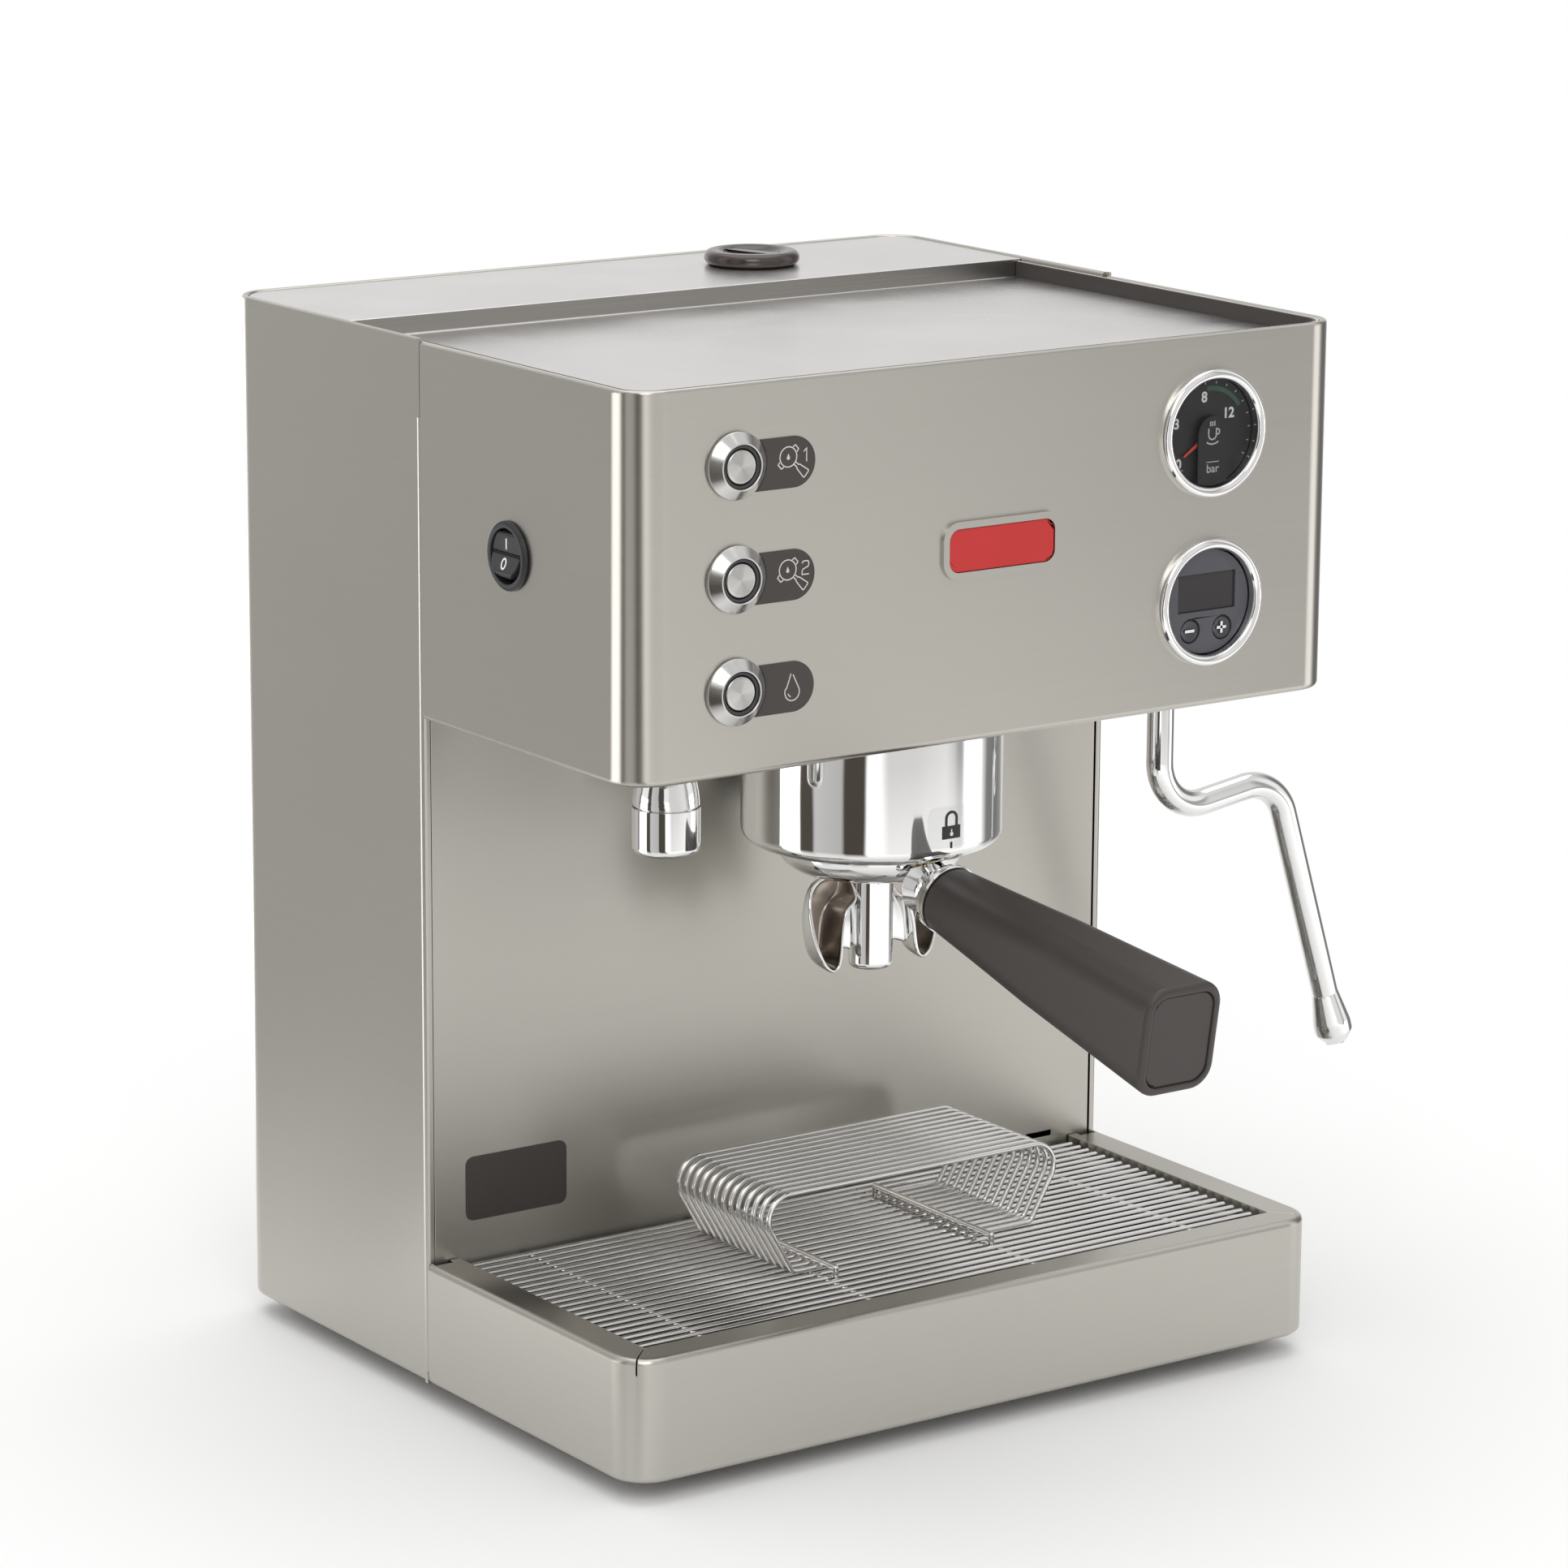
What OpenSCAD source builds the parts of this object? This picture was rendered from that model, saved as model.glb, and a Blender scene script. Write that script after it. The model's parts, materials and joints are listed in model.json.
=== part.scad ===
// Compact two-boiler espresso machine, as an assembly of its separate pieces.
// Millimetres, +X to the right seen from the front, +Y to the back, +Z up.
// Inside the modules x = 0 is the middle of the case, y = 0 is the seam between the head
// and the rear housing, and z = 0 is the lower edge of the case, just above the feet.

/* [Case] */
// Width of the case
case_w = 306; // [304:1:320]
// Depth of the head, from its front face to the seam
head_d = 135; // [134:1:145]
// Depth of the rear housing, from the seam to the back
rear_d = 135; // [134:1:150]
// Height of the case above the feet
case_h = 383; // [382:1:400]
// Height of the head
head_h = 136; // [134:1:138]
// Height of the base, up to its flange
base_h = 45.5; // [45:0.5:50]
// Radius of the upright corners
corner_r = 14.5; // [13:0.5:17]
// Thickness of the sheet steel
sheet = 1.2; // [1:0.1:1.4]
// Width of the folded rim round the top
rim_w = 2.6; // [2.4:0.1:3]
// Height of the folded rim
rim_h = 6; // [5:0.5:8]
// Step between the rims of the rear housing and the head
seam_step = 1.2; // [0.8:0.1:1.6]
// Width of the rolled edge at the seam
seam_lip = 3.2; // [2.6:0.2:4]
// Outer radius of the folds in the sheet
fold_r = 2.4; // [2:0.1:3]
// Width of the lips folded inwards at the lower edges
lip_w = 9; // [8:0.5:10]
// Gap between pieces that lie next to each other
gap = 0.3; // [0.25:0.05:0.35]

/* [Top] */
// Depth of the cup tray below the rim
tray_drop = 7.5; // [6:0.5:9]
// Distance of the step in the lid behind the seam
riser_y = 54; // [52:1:58]
// Radius of the filler cap
cap_r = 18.3; // [17:0.1:20]
// Radius of the filler hole
filler_r = 15.5; // [14:0.1:16]
// Filler cap, to the right of the middle
cap_x = 54; // [40:1:70]
// Filler cap, behind the seam
cap_y = 96; // [90:1:100]

/* [Tray] */
// Width of the base's flange
flange_w = 13.5; // [13:0.5:15]
// Diameter of the grill's wires
grill_wire = 2.2; // [2:0.1:2.4]
// Distance between the grill's wires
grill_pitch = 5.2; // [5:0.1:5.6]
// Depth of the grill's wires below the flange
grill_drop = 1.5; // [1:0.25:2.5]
// Diameter of the cup rack's wires
rack_wire = 2; // [1.8:0.1:2.2]
// Number of wires in the cup rack
rack_count = 13; // [9:1:15]
// Distance between the cup rack's wires
rack_pitch = 4.8; // [4.6:0.1:5]
// Height of the cup rack, between its wires' centres
rack_h = 29.5; // [27:0.5:34]
// Half the straight length of a rack wire's top
rack_half = 55.3; // [52:0.5:60]
// Middle of the cup rack, to the right of the middle of the case
rack_x = 5.6; // [0:0.2:8]
// Slope of the rack's legs from upright, in degrees
rack_lean = 30; // [25:1:33]

/* [Group] */
// Distance of the group's axis in front of the seam
group_y = 60; // [58:1:62]
// Outer radius of the group's collar
collar_r = 47.5; // [47:0.1:48.5]
// Distance of the collar's lower edge below the head
collar_drop = 51; // [50:0.5:52]
// Outer radius of the portafilter's bowl
bowl_r = 34.5; // [34.3:0.1:35]
// Height of the bowl below the collar's lower edge
bowl_drop = 11; // [10.5:0.25:12]
// Distance from the bowl's underside to the tip of the spout
spout_h = 37; // [34:0.5:38]
// Turn that unlocks the portafilter, in degrees
lock_turn = 55; // [50:1:60]
// Slope of the handle below level, in degrees
droop = 9.1; // [6:0.1:11]
// Distance from the group's axis to the end of the handle
handle_reach = 182; // [170:1:186]
// Width of the handle at its end
grip_w = 33; // [30:0.5:35]
// Height of the handle at its end
grip_h = 40; // [36:0.5:41]
// Radius of the handle at its ferrule
grip_r = 12.2; // [11.8:0.1:13]

/* [Controls] */
// Distance of the buttons from the middle of the case
button_x = 111.7; // [108:0.1:114]
// Height of the middle button above the head's lower edge
button_z = 68.4; // [66:0.2:69]
// Distance between two buttons
button_pitch = 38.7; // [36:0.1:40]
// Radius of a button
button_r = 6; // [5.6:0.1:6.3]
// Radius of a button's bezel
bezel_r = 12.3; // [12:0.1:12.6]
// Height of a bezel over the front
bezel_h = 4.4; // [4:0.1:5]
// Travel of a push button
button_travel = 2.5; // [2:0.1:2.8]
// Distance of the gauge and the display from the middle of the case
dial_x = 93.5; // [90:0.5:96]
// Height of the gauge above the head's lower edge
gauge_z = 99.3; // [98:0.1:100]
// Height of the display above the head's lower edge
display_z = 38.2; // [37:0.1:40]
// Outer radius of the gauge's and the display's bezels
dial_r = 23.2; // [22.8:0.1:23.6]
// Radius of their faces
face_r = 19; // [18.8:0.1:19.3]
// Height of their bezels over the front
dial_h = 2.9; // [2.7:0.1:3.3]
// Travel of the display's buttons
key_travel = 0.6; // [0.4:0.1:0.8]
// Radius of the display's buttons
key_r = 4.2; // [3.8:0.1:4.4]
// Distance of the rocker switch in front of the seam
rocker_y = 58.7; // [56:0.1:64]
// Height of the rocker switch above the head's lower edge
rocker_z = 68.5; // [64:0.5:74]
// Radius of the rocker switch's bezel
rocker_r = 12.2; // [12:0.1:13]
// Rock of the switch from one side to the other, in degrees
rocker_swing = 18; // [14:1:20]
// Length of the badge
badge_w = 50.7; // [46:0.1:54]
// Height of the badge
badge_h = 20.4; // [18:0.1:22]

/* [Steam and water] */
// Distance of the wand's joint from the middle of the case
wand_x = 117; // [116:0.5:118]
// Distance of the wand's joint in front of the seam
wand_y = 80; // [78:0.5:82]
// Radius of the wand's tube
wand_r = 5; // [4.8:0.1:5.1]
// Radius of the bends in the wand, at the middle of its tube
wand_bend = 18; // [17:0.5:20]
// Straight length between the wand's two bends
wand_run = 20; // [18:0.5:24]
// Straight length of the wand's lower leg
wand_leg = 77; // [70:1:80]
// Rise of the wand between its bends, in degrees
wand_rise = 8.5; // [5:0.5:12]
// Lean of the wand's lower leg from upright, in degrees
wand_lean = 17.3; // [12:0.1:20]
// Radius of the hot-water spout
water_r = 12; // [11.5:0.1:12.5]
// Distance of the hot-water spout from the middle of the case
water_x = 108; // [104:1:112]
// Distance of the hot-water spout in front of the seam
water_y = 88; // [86:1:94]
// Distance of the hot-water spout's tip below the head
water_drop = 36.5; // [34:0.5:38]
// Distance of the steam knob in front of the seam
knob_y = 50; // [46:1:54]
// Height of the steam knob above the head's lower edge
knob_z = 78; // [74:1:82]
// Radius of the steam knob
knob_r = 19; // [17:0.5:20]

/* [Inside] */
// Thickness of the chassis plates
plate = 1.5; // [1.2:0.1:1.8]
// Height of the tank shelf above the case's lower edge
shelf_z = 178; // [170:1:190]
// Radius of the coffee boiler
coffee_r = 38; // [36:0.5:40]
// Height of the coffee boiler
coffee_h = 74; // [66:1:80]
// Radius of the steam boiler
steam_r = 42; // [38:0.5:42]
// Height of the steam boiler
steam_h = 92; // [84:1:96]
// Height of the rubber feet
foot_h = 8; // [6:0.5:12]
// Distance of the feet from the sides
foot_inset = 32; // [28:1:40]

/* [Hidden] */
$fn = 96;

// Planes of the case
half_w = case_w / 2;
head_z = case_h - head_h;
head_top = case_h - seam_step;
inner_w = half_w - sheet - gap;
floor_z = head_z + 2 * sheet;
base_top = 2 * sheet + 0.2;
deck_z = head_z + 13.5 + plate;
tray_z = case_h - tray_drop;
lid_t = 1;
trim_t = 1.2;
trim_seat = 0.4;
lid_inset = rim_w + gap;
deck_top = case_h - 0.6;

// Tray and grill
pan_half = half_w - flange_w - 0.9;
pan_front = head_d - flange_w - 0.9;
pan_rear = 2;
grill_top = base_h - grill_drop;
grill_z = grill_top - grill_wire / 2;
grill_first = pan_rear + 1.4 + grill_wire / 2;
grill_count = floor((pan_front - 1.4 - grill_wire / 2 - grill_first) / grill_pitch) + 1;
bar_r = 1.6;
bar_z = grill_z - grill_wire / 2 - bar_r + gap;
ledge_z = bar_z - bar_r - gap;
rack_foot_z = grill_top + gap + rack_wire / 2;
rack_bend = 9;
rack_toe = 3;
rack_bar_r = 1.2;
rack_bar_x = [-36, 34];
rack_first = 23;
function mid_gap(k) = grill_first + (k + 0.5) * grill_pitch;
rack_hook_rear = mid_gap(2);
rack_hook_front = mid_gap(floor((rack_first + (rack_count - 1) * rack_pitch + 3 - grill_first) / grill_pitch) + 1);

// Group and portafilter, all from the collar's lower edge
collar_z = head_z - collar_drop;
collar_wall = 2.7;
ramp_z = collar_z + 3;
ramp_t = 4.5;
ear_z = ramp_z + ramp_t + gap;
ear_t = 4.2;
rim_z = collar_z + 16.3;
seal_z = rim_z + 10;
bowl_z = collar_z - bowl_drop;
bowl_in = bowl_r - 3.5;
spout_z = bowl_z - spout_h;
axle_z = bowl_z + 5.4;
ferrule_s = 45;
grip_s = 49.5;

// Wand: its ball sits in the joint below the head
ball_r = 7;
ball_z = head_z - 3;
wand_drop = 31;
turn_1 = 90 + wand_rise;
turn_2 = 90 + wand_rise - wand_lean;
p1 = [0, -wand_drop];
p2 = p1 + wand_bend * [1 - cos(turn_1), -sin(turn_1)];
p3 = p2 + wand_run * [cos(wand_rise), sin(wand_rise)];
p4 = p3 + wand_bend * [sin(wand_rise) + cos(wand_lean), -cos(wand_rise) + sin(wand_lean)];
p5 = p4 + wand_leg * [sin(wand_lean), -cos(wand_lean)];
tip_l = 21;
hair = 0.02;
tuck = 0.2;
tip_r = 7.2;

// Controls, as heights above the case's lower edge
buttons_z = [for (k = [1, 0, -1]) head_z + button_z + k * button_pitch];
gauge_cz = head_z + gauge_z;
display_cz = head_z + display_z;
key_x = 7.3;
key_drop = 10.3;
rocker_cz = head_z + rocker_z;
knob_cz = head_z + knob_z;
pivot_in = 4;

// The origin of the whole part: under the middle of its box, at the feet
reach_left = half_w + 4.4;
reach_right = wand_x + p5[0] + tip_l * sin(wand_lean) + tip_r * cos(wand_lean) - 1.6;
reach_front = group_y + handle_reach * cos(droop) + (grip_h / 2 - 2) * sin(droop);
reach_back = rear_d + 2;
shift = [(reach_left - reach_right) / 2, (reach_front - reach_back) / 2, foot_h];

// Places ----------------------------------------------------------------------------------

module on_front(x, z) translate([x, -head_d, z]) rotate([90, 0, 0]) children();

module on_group() translate([0, -group_y, 0]) children();

// Along the handle: local z runs from the group's axis to the end of the handle
module on_handle() translate([0, -group_y, axle_z]) rotate([90 + droop, 0, 0]) children();

// Outlines --------------------------------------------------------------------------------

// Head and base in plan, open at the seam, with the front corners rounded
module front_plan(inset = 0, back = 0) {
    w = half_w - inset;
    r = corner_r - inset;
    translate([-w, -head_d + inset + r]) square([2 * w, head_d - inset - r + back]);
    translate([-w + r, -head_d + inset]) square([2 * (w - r), r + 1]);
    for (s = [-1, 1]) translate([s * (w - r), -head_d + inset + r]) circle(r);
}

// Rear housing in plan, open at the seam, with the rear corners rounded
module rear_plan(inset = 0, front = 0) {
    w = half_w - inset;
    r = corner_r - inset;
    translate([-w, -front]) square([2 * w, rear_d - inset - r + front]);
    translate([-w + r, rear_d - inset - r - 1]) square([2 * (w - r), r + 1]);
    for (s = [-1, 1]) translate([s * (w - r), rear_d - inset - r]) circle(r);
}

// Rectangle with round corners, centred
module round_rect(w, h, r) {
    square([w - 2 * r, h], center = true);
    square([w, h - 2 * r], center = true);
    for (x = [-1, 1], y = [-1, 1]) translate([x * (w / 2 - r), y * (h / 2 - r)]) circle(r);
}

// Upright slot with round ends, centred
module slot(w, h) {
    square([w, h - w], center = true);
    for (s = [-1, 1]) translate([0, s * (h - w) / 2]) circle(w / 2);
}

// A section carried round the front half of the case: x inwards from its outside, y upwards
module round_front(depth, back = 0) {
    w = half_w;
    r = corner_r;
    for (s = [0, 1]) mirror([s, 0, 0]) {
        translate([w, -depth + r, 0]) rotate([90, 0, 180]) linear_extrude(depth - r + back) children();
        translate([w - r, -depth + r, 0]) rotate(-90) rotate_extrude(angle = 90)
            translate([r, 0]) mirror([1, 0]) children();
    }
    translate([-w + r, -depth, 0]) rotate([90, 0, 90]) linear_extrude(2 * (w - r)) children();
}

module round_rear(depth, front = 0) mirror([0, 1, 0]) round_front(depth, front) children();

// Quarter of a bent sheet, its bend's middle at the origin
module bend() {
    intersection() {
        difference() {
            circle(fold_r);
            circle(fold_r - sheet);
        }
        translate([-fold_r, -fold_r]) square(fold_r);
    }
}

// Section of a sheet wall from a lip folded inwards at its foot up to a height
module wall_section(z0, z1) {
    translate([0, z0 + fold_r]) square([sheet, z1 - z0 - fold_r]);
    translate([fold_r, z0 + fold_r]) bend();
    translate([fold_r, z0]) square([lip_w - fold_r, sheet]);
}

// Section of the folded rim on top of a wall
module rim_section(z1) {
    r = rim_w / 2 - 0.1;
    translate([0, z1 - rim_h]) square([rim_w, rim_h - r]);
    translate([r, z1 - r]) square([rim_w - 2 * r, r]);
    for (x = [r, rim_w - r]) translate([x, z1 - r]) circle(r);
}

module front_band(z, h, outer, inner, back = 0) {
    translate([0, 0, z]) difference() {
        linear_extrude(h) front_plan(outer, back);
        translate([0, 0, -1]) linear_extrude(h + 2) front_plan(inner, back + 5);
    }
}

module rear_band(z, h, outer, inner, front = 0) {
    translate([0, 0, z]) difference() {
        linear_extrude(h) rear_plan(outer, front);
        translate([0, 0, -1]) linear_extrude(h + 2) rear_plan(inner, front + 5);
    }
}

// Case ------------------------------------------------------------------------------------

vent_count = 11;
vent_pitch = 12;
inlet_x = -90;
inlet_z = 70;

module rear_housing() {
    roll = 2;
    color("#9a978e") difference() {
        union() {
            round_rear(rear_d, -roll) {
                wall_section(0, case_h - rim_h);
                rim_section(case_h);
            }
            // The sides end in a rolled edge, relieved at its top and its foot
            for (s = [-1, 1]) {
                for (z = [[0, 4], [case_h - 28, 28]])
                    translate([s * (half_w - sheet / 2) - sheet / 2, 0, z[0]]) cube([sheet, roll, z[1]]);
                translate([0, 0, 4]) linear_extrude(case_h - 32) {
                    intersection() {
                        translate([s * (half_w - roll), roll]) difference() {
                            circle(roll);
                            circle(roll - sheet);
                        }
                        translate([s > 0 ? half_w - roll : -half_w, 0]) square([roll, roll]);
                    }
                    translate([s > 0 ? half_w - seam_lip : -half_w + roll, 0]) square([seam_lip - roll, sheet]);
                }
            }
        }
        for (k = [0 : vent_count - 1]) {
            translate([(k - (vent_count - 1) / 2) * vent_pitch, rear_d + 1, 110]) rotate([90, 0, 0])
                linear_extrude(5) slot(4, 46);
        }
        translate([inlet_x, rear_d + 1, inlet_z]) rotate([90, 0, 0]) linear_extrude(5) round_rect(27.6, 20, 3);
        for (p = rear_screws) translate([p[0], rear_d + 1, p[1]]) rotate([90, 0, 0]) cylinder(r = 2.2, h = 5);
    }
}

module head_shell() {
    color("#aaa79e") difference() {
        union() {
            round_front(head_d, -gap) {
                wall_section(head_z, head_top - rim_h);
                rim_section(head_top);
            }
            on_front(0, head_z + button_z) linear_extrude(1.2) difference() {
                round_rect(badge_w, badge_h, 6.5);
                round_rect(badge_w - 5, badge_h - 5, 4.2);
            }
        }
        for (z = buttons_z) on_front(-button_x, z) translate([0, 0, -3]) cylinder(r = 8.3, h = 5);
        for (z = [gauge_cz, display_cz]) on_front(dial_x, z) translate([0, 0, -3]) cylinder(r = 20.6, h = 5);
        translate([-half_w - 1, -rocker_y, rocker_cz]) rotate([0, 90, 0]) cylinder(r = 10.9, h = 5);
        translate([half_w - 4, -knob_y, knob_cz]) rotate([0, 90, 0]) cylinder(r = 7.3, h = 5);
    }
}

panel_top = deck_z - plate - 2;

module back_panel() {
    w = half_w - seam_lip - 0.5;
    color("#a8a59d") difference() {
        translate([-w, 0.4, base_top + gap]) cube([2 * w, sheet, panel_top - base_top - gap]);
        // Slots that the drip tray's hooks would take
        translate([w - 30, -1, base_h + 1]) cube([12, 4, 2.2]);
        translate([w - 62, -1, base_h - 2]) cube([26, 4, 3]);
    }
}

module base_shell() {
    inner_x = half_w - flange_w;
    inner_y = head_d - flange_w;
    color("#b4b1aa") difference() {
        union() {
            round_front(head_d, -gap) {
                wall_section(0, base_h - fold_r);
                translate([fold_r, base_h - fold_r]) mirror([0, 1]) bend();
            }
            // Flange folded inwards, with its own edge folded down
            translate([0, 0, base_h - sheet]) linear_extrude(sheet) difference() {
                front_plan(fold_r, -gap);
                translate([-inner_x, -inner_y]) square([2 * inner_x, inner_y + 1]);
            }
            translate([0, 0, base_h - 5]) linear_extrude(5) difference() {
                translate([-inner_x - sheet, -inner_y - sheet]) square([2 * (inner_x + sheet), inner_y + sheet - gap]);
                translate([-inner_x, -inner_y]) square([2 * inner_x, inner_y + 1]);
            }
        }
        // The flange is mitred at its front corners and notched beside the back panel
        for (s = [-1, 1]) {
            translate([s * inner_x, -inner_y, base_h - 6]) rotate(s > 0 ? -45 : -135)
                translate([-3, -0.25, 0]) cube([flange_w * 1.42 + 0.8, 0.5, 7]);
            translate([s * (half_w - 5.8) - 3.8, -3.2, base_h - sheet - 1]) cube([7.6, 4, 3]);
        }
    }
}

module head_floor() {
    color("#8e8b84") difference() {
        translate([0, 0, head_z + sheet]) linear_extrude(sheet) front_plan(fold_r + gap, -gap);
        on_group() cylinder(r = collar_r + 0.6, h = case_h);
        translate([-water_x, -water_y, 0]) cylinder(r = 8.4, h = case_h);
        translate([wand_x, -wand_y, 0]) cylinder(r = nut_r + 0.4, h = case_h);
    }
}

foot_spots = [for (x = [-1, 1], y = [-head_d + foot_inset, rear_d - foot_inset]) [x * (half_w - foot_inset), y]];

module bottom_plate() {
    color("#77756f") translate([0, 0, sheet]) difference() {
        linear_extrude(base_top - sheet) {
            front_plan(fold_r + gap, 1);
            rear_plan(fold_r + gap);
        }
        for (p = foot_spots) translate([p[0], p[1], -1]) cylinder(r = 2.3, h = 5);
        for (x = [-60 : 12 : 60]) translate([x, 40, -1]) linear_extrude(5) slot(4, 30);
    }
}

module rubber_feet() {
    color("#26241f") for (p = foot_spots) translate([p[0], p[1], -foot_h]) difference() {
        union() {
            cylinder(r = 11, h = foot_h + sheet - 1.5);
            cylinder(r = 9.5, h = foot_h + sheet);
        }
        translate([0, 0, -1]) cylinder(r = 4.5, h = 4);
    }
}

rear_screws = [for (x = [-1, 1], z = [20, 200, case_h - 30]) [x * (half_w - 24), z]];

module case_screws() {
    color("#b8b5ad") for (p = rear_screws) translate([p[0], rear_d, p[1]]) rotate([-90, 0, 0]) {
        translate([0, 0, -8]) cylinder(r = 1.9, h = 8);
        difference() {
            intersection() {
                cylinder(r = 3.6, h = 1.8);
                translate([0, 0, -2.6]) sphere(4.4);
            }
            translate([-2.6, -0.5, 1]) cube([5.2, 1, 2]);
            translate([-0.5, -2.6, 1]) cube([1, 5.2, 2]);
        }
    }
}

// Top -------------------------------------------------------------------------------------

module top_lid() {
    floor_low = tray_z - lid_t;
    color("#c9c8c4") difference() {
        union() {
            // Cup tray: floor and walls under the head's rim
            translate([0, 0, floor_low]) linear_extrude(lid_t) front_plan(lid_inset, riser_y);
            front_band(floor_low, head_top - 0.4 - floor_low, lid_inset, lid_inset + lid_t, riser_y);
            // Step, raised deck and its skirt
            translate([-half_w + lid_inset, riser_y - lid_t, floor_low])
                cube([2 * (half_w - lid_inset), lid_t, deck_top - floor_low]);
            translate([0, 0, deck_top - lid_t]) linear_extrude(lid_t) rear_plan(lid_inset, -riser_y + lid_t);
            rear_band(floor_low, deck_top - floor_low, lid_inset, lid_inset + lid_t, -riser_y + lid_t);
            translate([cap_x, cap_y, deck_top - 4]) cylinder(r = filler_r + 1.4, h = 3.5);
        }
        translate([cap_x, cap_y, floor_low - 1]) cylinder(r = filler_r, h = 20);
        // Groove in the tray's floor that seats the edging
        front_band(tray_z - trim_seat, trim_seat + hair, lid_inset + lid_t, lid_inset + lid_t + trim_t + 0.1,
            riser_y - lid_t);
    }
}

// Dark edging round the inside of the cup tray's walls
module tray_trim() {
    color("#4a3f3b") front_band(tray_z - trim_seat, head_top - 0.5 - tray_z + trim_seat, lid_inset + lid_t,
        lid_inset + lid_t + trim_t, riser_y - lid_t - 0.2);
}

module filler_cap() {
    bulge = 2.8;
    top = 2 * bulge;
    color("#4a3a36") translate([cap_x, cap_y, deck_top]) difference() {
        union() {
            rotate_extrude() {
                square([cap_r - bulge, top]);
                translate([cap_r - bulge, bulge]) circle(bulge);
            }
            translate([0, 0, -7]) cylinder(r = filler_r - gap, h = 7.5);
        }
        // Dished top with a ridge left across it to turn the cap by
        difference() {
            translate([0, 0, 28.7]) sphere(26.6);
            rotate(25) translate([-2.4, -cap_r, 0]) cube([4.8, 2 * cap_r, 4.9]);
        }
        translate([0, 0, -8]) cylinder(r = filler_r - 2.4, h = 7.6);
    }
}

// Chassis and tank ------------------------------------------------------------------------

wall_y = riser_y - 4;
chassis_half = half_w - 4;

module chassis() {
    top = tray_z - lid_t;
    color("#a09d96") difference() {
        union() {
            translate([-chassis_half, wall_y, base_top]) cube([2 * chassis_half, plate, top - base_top]);
            translate([0, 0, shelf_z]) linear_extrude(plate) intersection() {
                rear_plan(4);
                translate([-chassis_half, wall_y]) square([2 * chassis_half, rear_d]);
            }
            for (s = [-1, 1]) translate([s * 118 - plate / 2, wall_y, base_top])
                cube([plate, rear_d - 4.2 - wall_y, shelf_z - base_top + 0.5]);
            translate([-half_w + 13, -head_d + 15, deck_z - plate])
                cube([2 * (half_w - 13), head_d - 15 + wall_y + 0.5, plate]);
        }
        // Water way of the group, wires and pipes
        on_group() translate([0, 0, deck_z - plate - 1]) cylinder(r = 14, h = 5);
        translate([-5, 30, deck_z - plate - 1]) cylinder(r = 6, h = 5);
        translate([-5, wall_y - 1, 120]) rotate([-90, 0, 0]) cylinder(r = 6, h = 5);
        translate([-water_x, -water_y, deck_z - plate - 1]) cylinder(r = 6, h = 5);
        translate([wand_x, -wand_y, deck_z - plate - 1]) cylinder(r = 4, h = 5);
        translate([0, (wall_y + rear_d) / 2, shelf_z - 1]) cylinder(r = 9, h = 5);
        for (x = [-110, 110], z = [60, 120]) translate([x * 0.8, wall_y - 1, z]) rotate([-90, 0, 0])
            cylinder(r = 12, h = 5);
    }
}

tank_w = 200;
tank_wall = 2.4;
tank_y0 = wall_y + plate + 3;
tank_y1 = rear_d - sheet - 5;
tank_top = tray_z - lid_t - 2;
tank_z = shelf_z + plate;

module water_tank() {
    color("#c8d4d8", 0.6) difference() {
        union() {
            translate([0, (tank_y0 + tank_y1) / 2, tank_z]) linear_extrude(tank_top - tank_z)
                round_rect(tank_w, tank_y1 - tank_y0, 10);
            translate([0, (wall_y + rear_d) / 2, tank_z - 8]) cylinder(r = 8.5, h = 9);
        }
        translate([0, (tank_y0 + tank_y1) / 2, tank_z + tank_wall]) linear_extrude(tank_top)
            round_rect(tank_w - 2 * tank_wall, tank_y1 - tank_y0 - 2 * tank_wall, 7.6);
        translate([0, (wall_y + rear_d) / 2, tank_z - 9]) cylinder(r = 3, h = 20);
    }
}

// Front controls --------------------------------------------------------------------------

module button_bezels() {
    color("#cfccc5") for (z = buttons_z) on_front(-button_x, z) rotate_extrude() polygon([
        [button_r + 0.35, -9], [button_r + 0.35, bezel_h - 1.6], [button_r + 1.6, bezel_h - 1.6],
        [button_r + 1.6, bezel_h - 0.2], [button_r + 1.9, bezel_h], [bezel_r, 1.8], [bezel_r, 0],
        [8, 0], [8, -9]
    ]);
}

module push_button() {
    rotate_extrude() {
        translate([0, -5]) square([button_r, bezel_h + 3.6]);
        translate([0, -5]) square([button_r - 1, bezel_h + 4.6]);
        translate([button_r - 1, bezel_h - 1.4]) circle(1);
    }
}

module coffee_button_1() color("#d8d5ce") on_front(-button_x, buttons_z[0]) push_button();
module coffee_button_2() color("#d8d5ce") on_front(-button_x, buttons_z[1]) push_button();
module water_button() color("#d8d5ce") on_front(-button_x, buttons_z[2]) push_button();

module button_switches() {
    color("#2a2a2c") for (z = buttons_z) on_front(-button_x, z) {
        translate([0, 0, -25]) cylinder(r = 7.6, h = 16);
        for (x = [-3, 3]) translate([x - 1.4, -0.4, -30]) cube([2.8, 0.8, 5.5]);
    }
}

module label_plates() {
    long = 32.4;
    color("#3b3331") for (z = buttons_z) on_front(-button_x, z - 0.9) linear_extrude(0.5) difference() {
        union() {
            translate([0, -8.8]) square([long - 8.8, 17.6]);
            translate([long - 8.8, 0]) circle(8.8);
        }
        translate([0, 0.9]) circle(bezel_r + 0.2);
    }
}

module badge_plate() {
    color("#c8352f") on_front(0, head_z + button_z) linear_extrude(0.9) round_rect(badge_w - 5.2, badge_h - 5.2, 4.1);
}

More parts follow.
